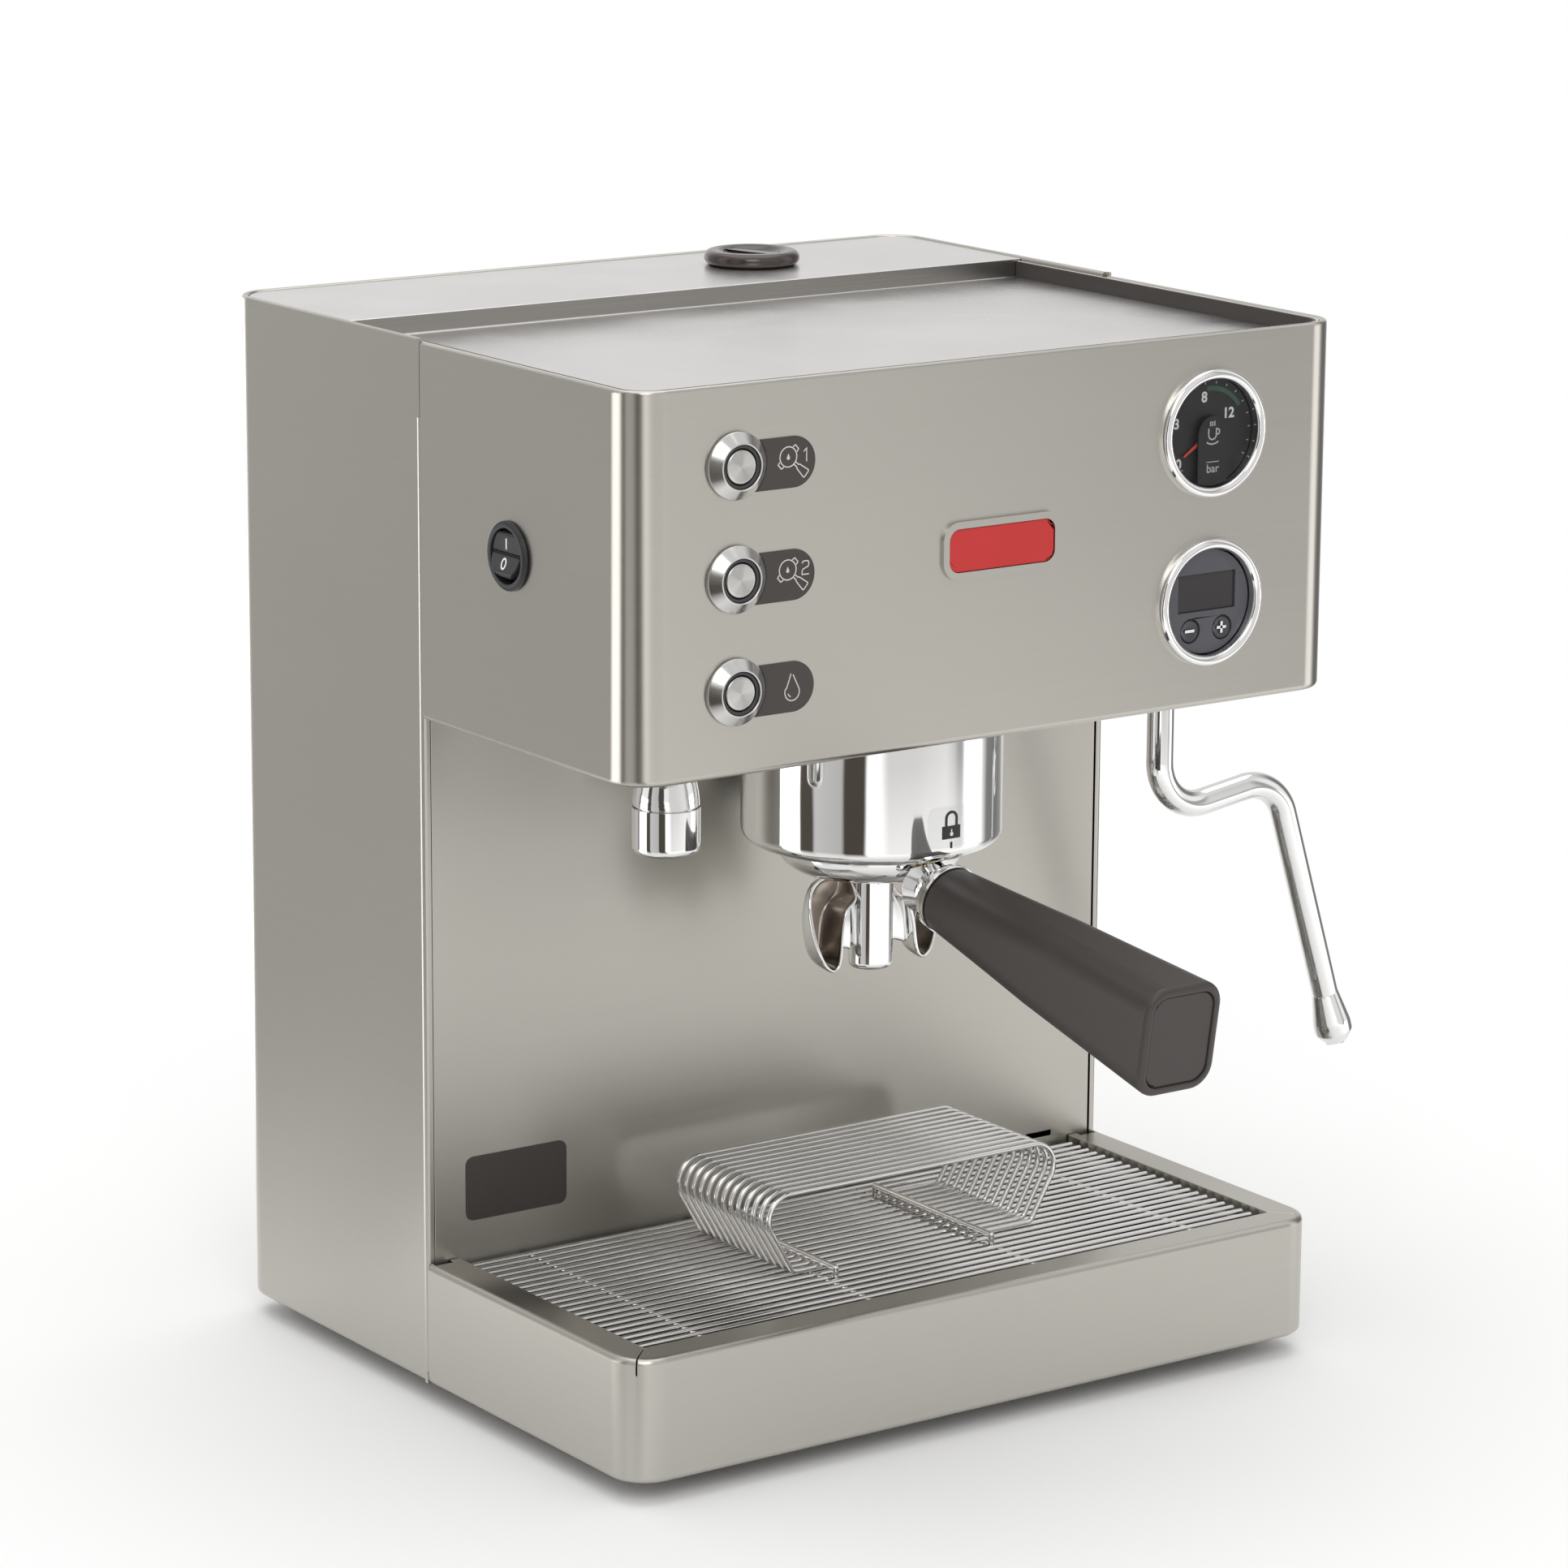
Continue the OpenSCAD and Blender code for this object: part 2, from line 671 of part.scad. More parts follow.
module name_plate() {
    color("#3b3331") translate([-half_w + 38.5, 0.4, 70.5]) rotate([90, 0, 0])
        linear_extrude(0.5) round_rect(43, 24, 3.2);
}

// Ring bezel of the gauge and the display: a rounded ring with a thin collar behind the panel
module dial_bezel() {
    bore = face_r + gap;
    round = (dial_r - bore) / 2;
    rotate_extrude() {
        translate([bore, 0]) square([2 * round, dial_h - round]);
        intersection() {
            translate([bore + round, dial_h - round]) circle(round);
            translate([bore, 0.2]) square([2 * round, dial_h]);
        }
        translate([bore, -2.4]) square([0.9, 3]);
    }
}

module gauge_bezel() color("#d6d6d4") on_front(dial_x, gauge_cz) dial_bezel();
module display_bezel() color("#d6d6d4") on_front(dial_x, display_cz) dial_bezel();

module gauge_case() {
    color("#3a3a3c") on_front(dial_x, gauge_cz) difference() {
        union() {
            translate([0, 0, -28]) cylinder(r = 20.2, h = 25.3);
            translate([0, 0, -3]) cylinder(r = face_r, h = 0.9);
            translate([0, 0, -38]) cylinder(r = 5, h = 11);
        }
        translate([0, 0, -8]) cylinder(r = 2.2, h = 10);
        translate([0, 0, -39]) cylinder(r = 1.5, h = 8);
    }
}

// Dial with the arched tab that bridges the needle's hub from the dial's foot
module gauge_dial() {
    tab_w = 13.3;
    tab_top = 6.1;
    color("#141416") on_front(dial_x, gauge_cz) difference() {
        union() {
            translate([0, 0, -2.1]) cylinder(r = face_r, h = 0.6);
            translate([0, 0, -0.1]) linear_extrude(0.6) intersection() {
                circle(face_r);
                union() {
                    translate([0, tab_top - tab_w / 2]) circle(tab_w / 2);
                    translate([-tab_w / 2, -face_r]) square([tab_w, face_r + tab_top - tab_w / 2]);
                }
            }
            translate([0, 0, -1.8]) linear_extrude(2) intersection() {
                circle(face_r);
                translate([-tab_w / 2, -face_r]) square([tab_w, face_r - 16]);
            }
        }
        translate([0, 0, -3]) cylinder(r = 1.3, h = 2);
    }
}

needle_rest = 122.6;

module gauge_needle() {
    color("#c63a2c") on_front(dial_x, gauge_cz) {
        translate([0, 0, -6]) cylinder(r = 1, h = 5.4);
        translate([0, 0, -1.1]) cylinder(r = 2.4, h = 0.7);
        translate([0, 0, -1.1]) rotate(needle_rest) linear_extrude(0.5)
            polygon([[-0.9, -4.5], [0.9, -4.5], [0.35, 14.5], [-0.35, 14.5]]);
    }
}

module gauge_glass() {
    color("#dfe8ea", 0.25) on_front(dial_x, gauge_cz) translate([0, 0, 0.8]) cylinder(r = face_r, h = 0.8);
}

screen_w = 26;
screen_h = 13.6;
screen_up = 3.4;

module display_module() {
    color("#4a4d52") on_front(dial_x, display_cz) difference() {
        union() {
            translate([0, 0, -20]) cylinder(r = 20.2, h = 17.3);
            translate([0, 0, -3]) cylinder(r = face_r, h = 2);
        }
        translate([0, screen_up, -2.6]) linear_extrude(3) square([screen_w, screen_h], center = true);
        for (s = [-1, 1]) translate([s * key_x, -key_drop, -5.4]) cylinder(r = key_r + 0.25, h = 6);
    }
}

module display_screen() {
    color("#25272b") on_front(dial_x, display_cz) translate([0, screen_up, -2.6])
        linear_extrude(0.6) square([screen_w - 0.4, screen_h - 0.4], center = true);
}

// Dished button with a raised bar or cross, its foot clear of its well by the travel
module key_button(bars) {
    difference() {
        cylinder(r = key_r, h = 3.9 - key_travel);
        translate([0, 0, 3.2 - key_travel + 12]) sphere(12);
    }
    for (a = bars) rotate(a) translate([-1.7, -0.4, 2.6 - key_travel]) cube([3.4, 0.8, 1]);
}

module on_key(side) on_front(dial_x + side * key_x, display_cz - key_drop)
    translate([0, 0, -5.4 + key_travel + 0.2]) children();

module minus_button() color("#33363b") on_key(-1) key_button([0]);
module plus_button() color("#33363b") on_key(1) key_button([0, 90]);

// Rocker switch on the left side: local z points out of the side, local y points up
module on_left() translate([-half_w, -rocker_y, rocker_cz]) rotate([90, 0, -90]) children();

module switch_housing() {
    color("#232325") on_left() difference() {
        union() {
            cylinder(r = rocker_r, h = 1.4);
            cylinder(r = rocker_r - 0.8, h = 2);
            translate([0, 0, -22]) cylinder(r = 10.6, h = 22.5);
        }
        translate([0, 0, -13]) cylinder(r = 9.7, h = 20);
        translate([-10.2, 0, -pivot_in]) rotate([0, 90, 0]) cylinder(r = 1.3, h = 20.4);
    }
}

module rocker() {
    crown = 9.4;
    color("#2b2b2e") on_left() translate([0, 0, -pivot_in]) rotate([-rocker_swing / 2, 0, 0]) {
        difference() {
            intersection() {
                translate([0, 0, -5]) cylinder(r = 8.8, h = 16);
                rotate([0, 90, 0]) translate([0, 0, -10]) cylinder(r = crown, h = 20);
            }
            // Two flats that meet in a shallow valley over the pivot
            for (s = [0, 180]) rotate(s) translate([-12, 0, pivot_in + 1.4]) rotate([rocker_swing / 2, 0, 0])
                translate([0, -0.2, 0]) cube([24, 16, 12]);
            translate([-12, -12, -12]) cube([24, 24, 8]);
        }
        translate([-9.9, 0, 0]) rotate([0, 90, 0]) cylinder(r = 1.2, h = 19.8);
    }
}

// Group and portafilter -------------------------------------------------------------------

module group_collar() {
    edge = 5;
    color("#d9d9d7") on_group() translate([0, 0, collar_z]) rotate_extrude() {
        translate([collar_r - collar_wall, edge]) square([collar_wall, head_z + 6.5 - collar_z - edge]);
        intersection() {
            translate([collar_r - edge, edge]) circle(edge);
            translate([collar_r - edge, 0]) difference() {
                square([edge, edge]);
                translate([0, edge]) circle(edge - collar_wall);
            }
        }
        translate([bowl_r + 2.4, 0]) square([collar_r - edge - bowl_r - 2.4, 2.6]);
    }
}

// Sector of a disc between two angles, for the ears and their slots
module sector(a0, a1, r) {
    n = 6;
    polygon(concat([[0, 0]], [for (k = [0 : n]) let (a = a0 + (a1 - a0) * k / n) 1.3 * r * [cos(a), sin(a)]]));
}

module group_body() {
    r = collar_r - collar_wall - 0.4;
    color("#b58f4a") on_group() difference() {
        union() {
            translate([0, 0, ramp_z]) cylinder(r1 = r - 1.6, r2 = r, h = 2.5);
            translate([0, 0, ramp_z + 2.5]) cylinder(r = r, h = head_z + 4.5 - ramp_z);
            translate([0, 0, head_z + 7]) cylinder(r = r + 2.6, h = deck_z - plate - head_z - 7);
        }
        // Throat, the space in which the ears turn, and the seat of the gasket
        translate([0, 0, ramp_z - 1]) cylinder(r = bowl_r + 1, h = 12);
        translate([0, 0, ramp_z + ramp_t]) cylinder(r = bowl_r + 6.5, h = rim_z + 0.5 - ramp_z - ramp_t);
        difference() {
            translate([0, 0, ramp_z + ramp_t]) cylinder(r = bowl_r + 2.6, h = seal_z - ramp_z - ramp_t);
            translate([0, 0, rim_z - 2]) cylinder(r = 26, h = 20);
        }
        for (s = [0, 180]) translate([0, 0, ramp_z - 1]) linear_extrude(ramp_t + 2) intersection() {
            circle(bowl_r + 6.5);
            sector(-lock_turn - 22 + s, -lock_turn + 22 + s, bowl_r + 10);
        }
        translate([0, 0, ramp_z]) cylinder(r = 4, h = case_h);
    }
}

module group_gasket() {
    color("#2c2a28") on_group() translate([0, 0, rim_z + 0.8 + gap]) difference() {
        cylinder(r = bowl_r + 2.3, h = seal_z - rim_z - 0.8 - gap);
        translate([0, 0, -1]) cylinder(r = 26.4, h = 20);
    }
}

module shower_screen() {
    color("#c4c2bc") on_group() translate([0, 0, rim_z - 1.9]) difference() {
        union() {
            cylinder(r = 27.6, h = 2.4);
            translate([0, 0, -1]) cylinder(r = 4, h = 2);
        }
        translate([0, 0, 0.8]) difference() {
            cylinder(r = 27, h = 5);
            cylinder(r = 6, h = 5);
        }
    }
}

module portafilter_bowl() {
    round = 10;
    color("#d4d4d2") {
        on_group() difference() {
            union() {
                rotate_extrude() {
                    translate([0, bowl_z]) square([bowl_r - round, rim_z - bowl_z]);
                    translate([0, bowl_z + round]) square([bowl_r, rim_z - bowl_z - round]);
                    intersection() {
                        translate([bowl_r - round, bowl_z + round]) circle(round);
                        translate([0, bowl_z]) square([bowl_r, 2 * round]);
                    }
                }
                for (s = [0, 180]) translate([0, 0, ear_z]) linear_extrude(ear_t) intersection() {
                    circle(bowl_r + 5.2);
                    sector(-18 + s, 18 + s, bowl_r + 10);
                }
                translate([0, group_y, 0]) on_handle() {
                    translate([0, 0, bowl_in + 2.2]) cylinder(r = 7.2, h = ferrule_s - bowl_in - 4);
                    translate([0, 0, bowl_in + 2.2]) cylinder(r1 = 10.4, r2 = 7.2, h = 6);
                }
            }
            translate([0, 0, bowl_z + 5]) cylinder(r = bowl_in, h = 40);
            translate([0, 0, bowl_z - 1]) cylinder(r = 3.6, h = 10);
        }
    }
}

module filter_basket() {
    deep = rim_z - bowl_z - 6.5;
    color("#bdbbb5") on_group() translate([0, 0, rim_z - deep]) difference() {
        union() {
            cylinder(r = bowl_in - 0.5, h = deep);
            translate([0, 0, deep]) cylinder(r = bowl_r - 0.6, h = 0.8);
        }
        translate([0, 0, 0.8]) cylinder(r = bowl_in - 1.2, h = deep + 2);
        for (a = [0 : 60 : 300]) rotate(a) translate([14, 0, -1]) cylinder(r = 1.5, h = 4);
    }
}

// Outline of one arm of the spout, from the middle out, drawn in by a wall's thickness
module arm_outline(t) {
    top = spout_h - 0.5;
    knee = top - 13.5;
    low = 10;
    translate([-1, knee + t]) square([15, 13.5 - 2 * t]);
    intersection() {
        translate([14, knee]) circle(13.5 - t);
        translate([14 - tuck, knee - tuck]) square(20);
    }
    intersection() {
        translate([-12.5, knee]) circle(40 - t);
        translate([11.5 + t, 0]) square([20, knee + tuck]);
        union() {
            translate([27.5, low]) circle(16 - t);
            translate([11.5, low]) square([20, knee]);
        }
    }
}

// One open channel of the spout: a gutter, open to the front, that arches out and turns down to its tip
module spout_arm() {
    wall = 1.9;
    deep = 15;
    translate([0, deep / 2, 0]) rotate([90, 0, 0]) difference() {
        linear_extrude(deep) arm_outline(0);
        translate([0, 0, wall]) linear_extrude(deep) arm_outline(wall);
    }
}

module twin_spout() {
    color("#d4d4d2") on_group() translate([0, 0, spout_z]) difference() {
        union() {
            cylinder(r = 8.2, h = spout_h);
            translate([0, 0, spout_h]) cylinder(r = 3.3, h = 4);
            for (s = [0, 1]) mirror([s, 0, 0]) spout_arm();
        }
        translate([0, 0, -1]) cylinder(r = 5.6, h = 14);
        translate([0, 0, spout_h - 8]) cylinder(r = 2, h = 20);
        for (s = [-1, 1]) translate([0, 0, spout_h - 6.4]) rotate([0, s * 90, 0]) cylinder(r = 2, h = 14);
    }
}

module handle_ferrule() {
    color("#cfcfcd") on_handle() translate([0, 0, ferrule_s - 3]) rotate_extrude() difference() {
        polygon([
            [0, 1.4], [7.4, 1.4], [8.6, 0], [10, 1.2], [grip_r + 0.3, 3.6], [grip_r + 0.3, 5.2],
            [grip_r - 0.4, 5.5], [grip_r - 0.4, 5.9], [grip_r + 0.5, 6.2], [grip_r + 0.5, 7.5], [0, 7.5]
        ]);
        translate([-1, 1.2]) square([1, 8]);
    }
}

module handle_grip() {
    length = handle_reach - grip_s;
    color("#3a332f") on_handle() translate([0, 0, grip_s]) difference() {
        hull() {
            cylinder(r = grip_r, h = 0.5, $fn = 48);
            translate([0, 0, length - 2.5]) linear_extrude(0.5) round_rect(grip_w, grip_h, 9.5, $fn = 48);
            translate([0, 0, length - 0.5]) linear_extrude(0.5) round_rect(grip_w - 3, grip_h - 3, 8, $fn = 48);
        }
        translate([0, 0, length - 4]) linear_extrude(5) round_rect(grip_w - 6.4, grip_h - 6.4, 6.4);
        translate([0, 0, -1]) cylinder(r = 4.2, h = 60);
    }
}

module handle_end_cap() {
    color("#403a38") on_handle() translate([0, 0, handle_reach - 4])
        linear_extrude(3.4) round_rect(grip_w - 7, grip_h - 7, 6.1);
}

// Water and steam -------------------------------------------------------------------------

module hot_water_spout() {
    z0 = head_z - water_drop;
    cup = 17;
    color("#d6d6d4") translate([-water_x, -water_y, z0]) difference() {
        union() {
            rotate_extrude() {
                translate([0, 3.4]) square([water_r, cup - 3.4]);
                square([water_r - 3.4, cup]);
                translate([water_r - 3.4, 3.4]) circle(3.4);
                // Bell above the seam, drawn in to the pipe's neck
                intersection() {
                    translate([-22.3, cup + 0.3]) circle(water_r + 22);
                    translate([0, cup + 0.3]) square([water_r, 22]);
                }
                translate([0, cup - 1]) square([water_r - 1, 2]);
            }
            cylinder(r = 7.6, h = floor_z - z0 + 4);
        }
        translate([0, 0, -1]) cylinder(r = 7, h = 13);
        translate([0, 0, 0]) cylinder(r = 3.2, h = 60);
    }
}

nut_r = 13;
seat_r = 10.8;

module wand_joint_nut() {
    color("#c9c9c6") translate([wand_x, -wand_y, 0]) difference() {
        union() {
            translate([0, 0, ball_z - 6]) cylinder(r = nut_r, h = 15);
            translate([0, 0, ball_z + 8]) cylinder(r = 9, h = deck_z - plate - ball_z - 8);
        }
        translate([0, 0, ball_z - 4.4]) cylinder(r = seat_r + 0.2, h = 12);
        translate([0, 0, ball_z - 7]) cylinder(r = 7.2, h = 5);
        cylinder(r = 3, h = case_h);
    }
}

module wand_seat() {
    color("#e6e2d8") translate([wand_x, -wand_y, ball_z]) difference() {
        translate([0, 0, -4.2]) cylinder(r = seat_r, h = 9.5);
        sphere(ball_r + 0.15);
        translate([0, 0, -6]) cylinder(r = 6.4, h = 6);
        cylinder(r = 3, h = 9);
    }
}

// The wand in its own plane: local x outwards, local y up, from the middle of its ball
module wand_bend_at(p, spin, turn) {
    translate([p[0], p[1], 0]) rotate(spin) rotate_extrude(angle = turn)
        translate([wand_bend, 0]) circle(wand_r, $fn = 48);
}

// A straight run a hair thinner than the bends, so that its ends sink into theirs
module wand_run_from(p, lean, length) {
    translate([p[0], p[1], 0]) rotate(lean) rotate([-90, 0, 0]) translate([0, 0, -tuck])
        cylinder(r = wand_r - hair, h = length + 2 * tuck, $fn = 48);
}

module on_wand() translate([wand_x, -wand_y, ball_z]) rotate([90, 0, 0]) children();

module steam_wand() {
    color("#cfcfcd") on_wand() difference() {
        union() {
            sphere(ball_r);
            wand_run_from([0, 0], 180, wand_drop);
            wand_bend_at(p1 + [wand_bend, 0], 180, turn_1);
            wand_run_from(p2, -90 + wand_rise, wand_run);
            wand_bend_at(p3 + wand_bend * [sin(wand_rise), -cos(wand_rise)], wand_lean, turn_2);
            wand_run_from(p4, 180 + wand_lean, wand_leg - tuck);
        }
        translate([0, 4, 0]) rotate([-90, 0, 0]) cylinder(r = 2, h = 9);
    }
}

module wand_tip() {
    color("#cfcfcd") on_wand() translate([p5[0], p5[1], 0]) rotate(180 + wand_lean) rotate([-90, 0, 0])
        difference() {
            union() {
                cylinder(r1 = wand_r, r2 = tip_r, h = tip_l * 0.62);
                translate([0, 0, tip_l * 0.62]) cylinder(r = tip_r, h = tip_l * 0.18);
                translate([0, 0, tip_l * 0.8]) cylinder(r1 = tip_r, r2 = tip_r - 3, h = tip_l * 0.2);
            }
            for (a = [0 : 90 : 270]) rotate(a) translate([3, 0, tip_l - 5]) cylinder(r = 0.8, h = 9);
        }
}

module on_right() translate([half_w, -knob_y, knob_cz]) rotate([0, 90, 0]) children();

module steam_valve() {
    color("#b58f4a") on_right() difference() {
        union() {
            translate([0, 0, -sheet - 34]) cylinder(r = 11, h = 34);
            translate([0, 0, -sheet - 1]) cylinder(r = 7, h = sheet + 6);
            translate([0, 0, -24]) rotate([0, 90, 0]) cylinder(r = 5, h = 20);
            translate([0, 0, -24]) rotate([0, -90, 0]) cylinder(r = 5, h = 20);
        }
        translate([0, 0, -22]) cylinder(r = 3.3, h = 60);
        translate([0, 0, -24]) rotate([0, 90, 0]) cylinder(r = 2.6, h = 24);
        translate([0, 0, -24]) rotate([0, -90, 0]) cylinder(r = 2.6, h = 24);
    }
}

module steam_knob() {
    flutes = 16;
    color("#2f2a28") on_right() {
        translate([0, 0, -21]) cylinder(r = 3.2, h = 32);
        difference() {
            union() {
                rotate_extrude() {
                    translate([0, 9]) square([knob_r - 3, 16]);
                    translate([0, 9]) square([knob_r, 13]);
                    translate([knob_r - 3, 22]) circle(3);
                }
                translate([0, 0, 5.3]) cylinder(r = 11, h = 5);
            }
            for (k = [0 : flutes - 1]) rotate(k * 360 / flutes) translate([knob_r + 1.6, 0, 8]) cylinder(r = 2.6, h = 20);
            translate([0, 0, 5]) cylinder(r = 7.6, h = 2.2);
        }
    }
}

// Inside ----------------------------------------------------------------------------------

module coffee_boiler() {
    color("#c09a52") on_group() translate([0, 0, deck_z]) {
        difference() {
            union() {
                cylinder(r = coffee_r + 6, h = 6);
                cylinder(r = coffee_r, h = coffee_h - 8);
                intersection() {
                    cylinder(r = coffee_r, h = coffee_h);
                    translate([0, 0, coffee_h - 90]) sphere(90);
                }
                translate([-5, 0, 38]) rotate([-90, 0, 0]) cylinder(r = 5, h = coffee_r + 4);
            }
            translate([0, 0, -1]) cylinder(r = 4, h = 12);
            translate([-5, 10, 38]) rotate([-90, 0, 0]) cylinder(r = 2.8, h = coffee_r);
        }
        translate([0, 0, coffee_h - 1]) cylinder(r = 10, h = 7);
    }
}

boiler_x = -88;
boiler_y = -5;

module steam_boiler() {
    color("#b3b1aa") translate([boiler_x, boiler_y, deck_z]) difference() {
        union() {
            intersection() {
                cylinder(r = steam_r, h = steam_h);
                translate([0, 0, steam_h - 100]) sphere(100);
            }
            translate([0, 0, steam_h - 2]) cylinder(r = 7, h = 8);
            translate([24, 0, steam_h - 6]) cylinder(r = 6, h = 10);
        }
        translate([0, 0, steam_h - 4]) cylinder(r = 3.2, h = 12);
    }
}

module pump() {
    translate([-70, 92, base_top]) {
        color("#3c3c3e") translate([-26, -17, 8]) cube([52, 34, 36]);
        color("#a9a7a1") translate([26, 0, 26]) rotate([0, 90, 0]) cylinder(r = 10, h = 22);
        color("#a9a7a1") translate([48, 0, 26]) rotate([0, 90, 0]) difference() {
            cylinder(r = 6, h = 8);
            translate([0, 0, 2]) cylinder(r = 3.3, h = 9);
        }
        color("#a9a7a1") translate([-44, 0, 26]) rotate([0, 90, 0]) cylinder(r = 9, h = 18);
        for (x = [-20, 20]) color("#2a2825") translate([x, 0, 0]) cylinder(r = 7, h = 8);
    }
}

module solenoid_valves() {
    for (x = [62, 92]) translate([x, -36, deck_z]) {
        color("#b58f4a") translate([-11, -11, 0]) cube([22, 22, 14]);
        color("#2f3033") translate([-10, -12, 14]) cube([20, 24, 26]);
        color("#b8b5ad") translate([0, 0, 40]) cylinder(r = 6, h = 10);
    }
}

module control_box() {
    color("#50534f") translate([10, 66, base_top]) difference() {
        cube([96, 52, 56]);
        for (k = [0 : 6]) translate([14 + k * 10, -1, 12]) cube([3, 4, 32]);
    }
}

module power_inlet() {
    color("#1f1f21") translate([inlet_x, rear_d, inlet_z]) rotate([-90, 0, 0]) {
        difference() {
            union() {
                linear_extrude(2) round_rect(31, 25, 4);
                translate([0, 0, -22]) linear_extrude(23) round_rect(27, 19.4, 2.8);
            }
            translate([0, 0, -16]) linear_extrude(20) round_rect(24, 16.4, 3);
        }
        // Three flat pins standing in the socket
        for (x = [-7, 0, 7]) translate([x - 1, (x == 0 ? 2 : -2) - 2, -17]) cube([2, 4, 10]);
    }
}

// A pipe along points, with a ball at each bend
module pipe(points, r = 3) {
    last = len(points) - 1;
    for (k = [0 : last - 1]) {
        v = points[k + 1] - points[k];
        translate(points[k]) rotate([0, acos(v[2] / norm(v)), atan2(v[1], v[0])])
            cylinder(r = r, h = norm(v), $fn = 32);
    }
    if (last > 1) for (k = [1 : last - 1]) translate(points[k]) sphere(r + 0.2, $fn = 32);
}

module pipes() {
    pump_out = [-70 + 51, 92, base_top + 26];
    valve_in = [half_w - 24, -knob_y, knob_cz + 20.3];
    color("#b87450") {
        pipe([pump_out, [-5, 92, pump_out[2]], [-5, 92, 120], [-5, 30, 120], [-5, 30, deck_z + 38],
            [-5, -group_y + coffee_r + 4.3, deck_z + 38]]);
        pipe([[boiler_x, boiler_y, deck_z + steam_h - 3], [boiler_x, boiler_y, deck_z + steam_h + 11],
            [half_w - 24, -knob_y, deck_z + steam_h + 11], valve_in]);
        pipe([[half_w - 24, -knob_y, knob_cz - 20.3], [half_w - 24, -knob_y, deck_z + 12],
            [wand_x, -wand_y, deck_z + 12], [wand_x, -wand_y, ball_z + 9]], 2.6);
        pipe([[-water_x, -water_y, floor_z + 4.3], [-water_x, -water_y, deck_z + 16],
            [boiler_x, boiler_y - steam_r - 8, deck_z + 16], [boiler_x, boiler_y - steam_r - 0.35, deck_z + 16]], 2.6);
    }
}

// Drip tray, grill and cup rack -----------------------------------------------------------

module pan_plan(inset = 0) {
    translate([0, -(pan_front + pan_rear) / 2])
        round_rect(2 * (pan_half - inset), pan_front - pan_rear - 2 * inset, 8 - inset);
}

module drip_tray() {
    low = base_top + gap;
    color("#9b9992") {
        translate([0, 0, low]) linear_extrude(sheet) pan_plan();
        translate([0, 0, low]) linear_extrude(ledge_z - low) difference() {
            pan_plan();
            pan_plan(sheet);
        }
        // Ledge that carries the grill
        translate([0, 0, ledge_z - sheet]) linear_extrude(sheet) difference() {
            pan_plan();
            pan_plan(5);
        }
    }
}

module grill() {
    color("#c9c8c4") {
        for (k = [0 : grill_count - 1]) translate([-pan_half + 1, -grill_first - k * grill_pitch, grill_z])
            rotate([0, 90, 0]) cylinder(r = grill_wire / 2, h = 2 * pan_half - 2, $fn = 24);
        for (x = [-110, -37, 37, 110]) translate([x, -pan_rear - 1.5, bar_z]) rotate([90, 0, 0])
            cylinder(r = bar_r, h = pan_front - pan_rear - 3, $fn = 24);
    }
}

// One end of a rack wire: bend, leaning leg, toe bend and foot, from the end of its straight top
rack_turn = 90 + rack_lean;
rack_b0 = rack_bend * [sin(rack_turn), cos(rack_turn) - 1];
toe_drop = rack_toe * (1 - sin(rack_lean));
rack_leg = (rack_h + rack_b0[1] - toe_drop) / cos(rack_lean);
rack_b1 = rack_b0 + rack_leg * [-sin(rack_lean), -cos(rack_lean)];
rack_foot = rack_b1 + [-rack_toe * cos(rack_lean), -toe_drop];

module rack_end(foot) {
    r = rack_wire / 2;
    a = rack_turn;
    b0 = rack_b0;
    leg = rack_leg;
    foot_at = rack_foot;
    rotate([90, 0, 0]) {
        translate([0, -rack_bend, 0]) rotate(90 - a) rotate_extrude(angle = a)
            translate([rack_bend, 0]) circle(r, $fn = 24);
        translate([b0[0], b0[1], 0]) rotate([0, 0, 180 - rack_lean]) rotate([-90, 0, 0])
            translate([0, 0, -tuck]) cylinder(r = r - hair, h = leg + 2 * tuck, $fn = 24);
        translate([foot_at[0], foot_at[1] + rack_toe, 0]) rotate(-90) rotate_extrude(angle = 90 - rack_lean)
            translate([rack_toe, 0]) circle(r, $fn = 24);
        translate([foot_at[0] - foot, foot_at[1], 0]) rotate([0, 90, 0])
            cylinder(r = r - hair, h = foot + tuck, $fn = 24);
    }
}

module cup_rack() {
    color("#cdccc8") translate([0, 0, rack_foot_z]) {
        for (k = [0 : rack_count - 1]) translate([rack_x, -rack_first - k * rack_pitch, rack_h]) {
            translate([-rack_half - tuck, 0, 0]) rotate([0, 90, 0])
                cylinder(r = rack_wire / 2 - hair, h = 2 * (rack_half + tuck), $fn = 24);
            translate([rack_half, 0, 0]) rack_end(rack_x + rack_half + rack_foot[0] - rack_bar_x[1] + 1.8);
            mirror([1, 0, 0]) translate([rack_half, 0, 0])
                rack_end(-rack_x + rack_half + rack_foot[0] + rack_bar_x[0] + 1.8);
        }
        for (x = rack_bar_x) translate([x, 0, rack_wire / 2 + rack_bar_r - 0.3]) {
            translate([0, -rack_hook_rear, 0]) rotate([90, 0, 0])
                cylinder(r = rack_bar_r, h = rack_hook_front - rack_hook_rear, $fn = 24);
            for (y = [rack_hook_rear, rack_hook_front]) translate([0, -y, 0]) {
                sphere(rack_bar_r, $fn = 24);
                translate([0, 0, -4.4]) cylinder(r = rack_bar_r, h = 4.4, $fn = 24);
            }
        }
    }
}

// Assembly --------------------------------------------------------------------------------

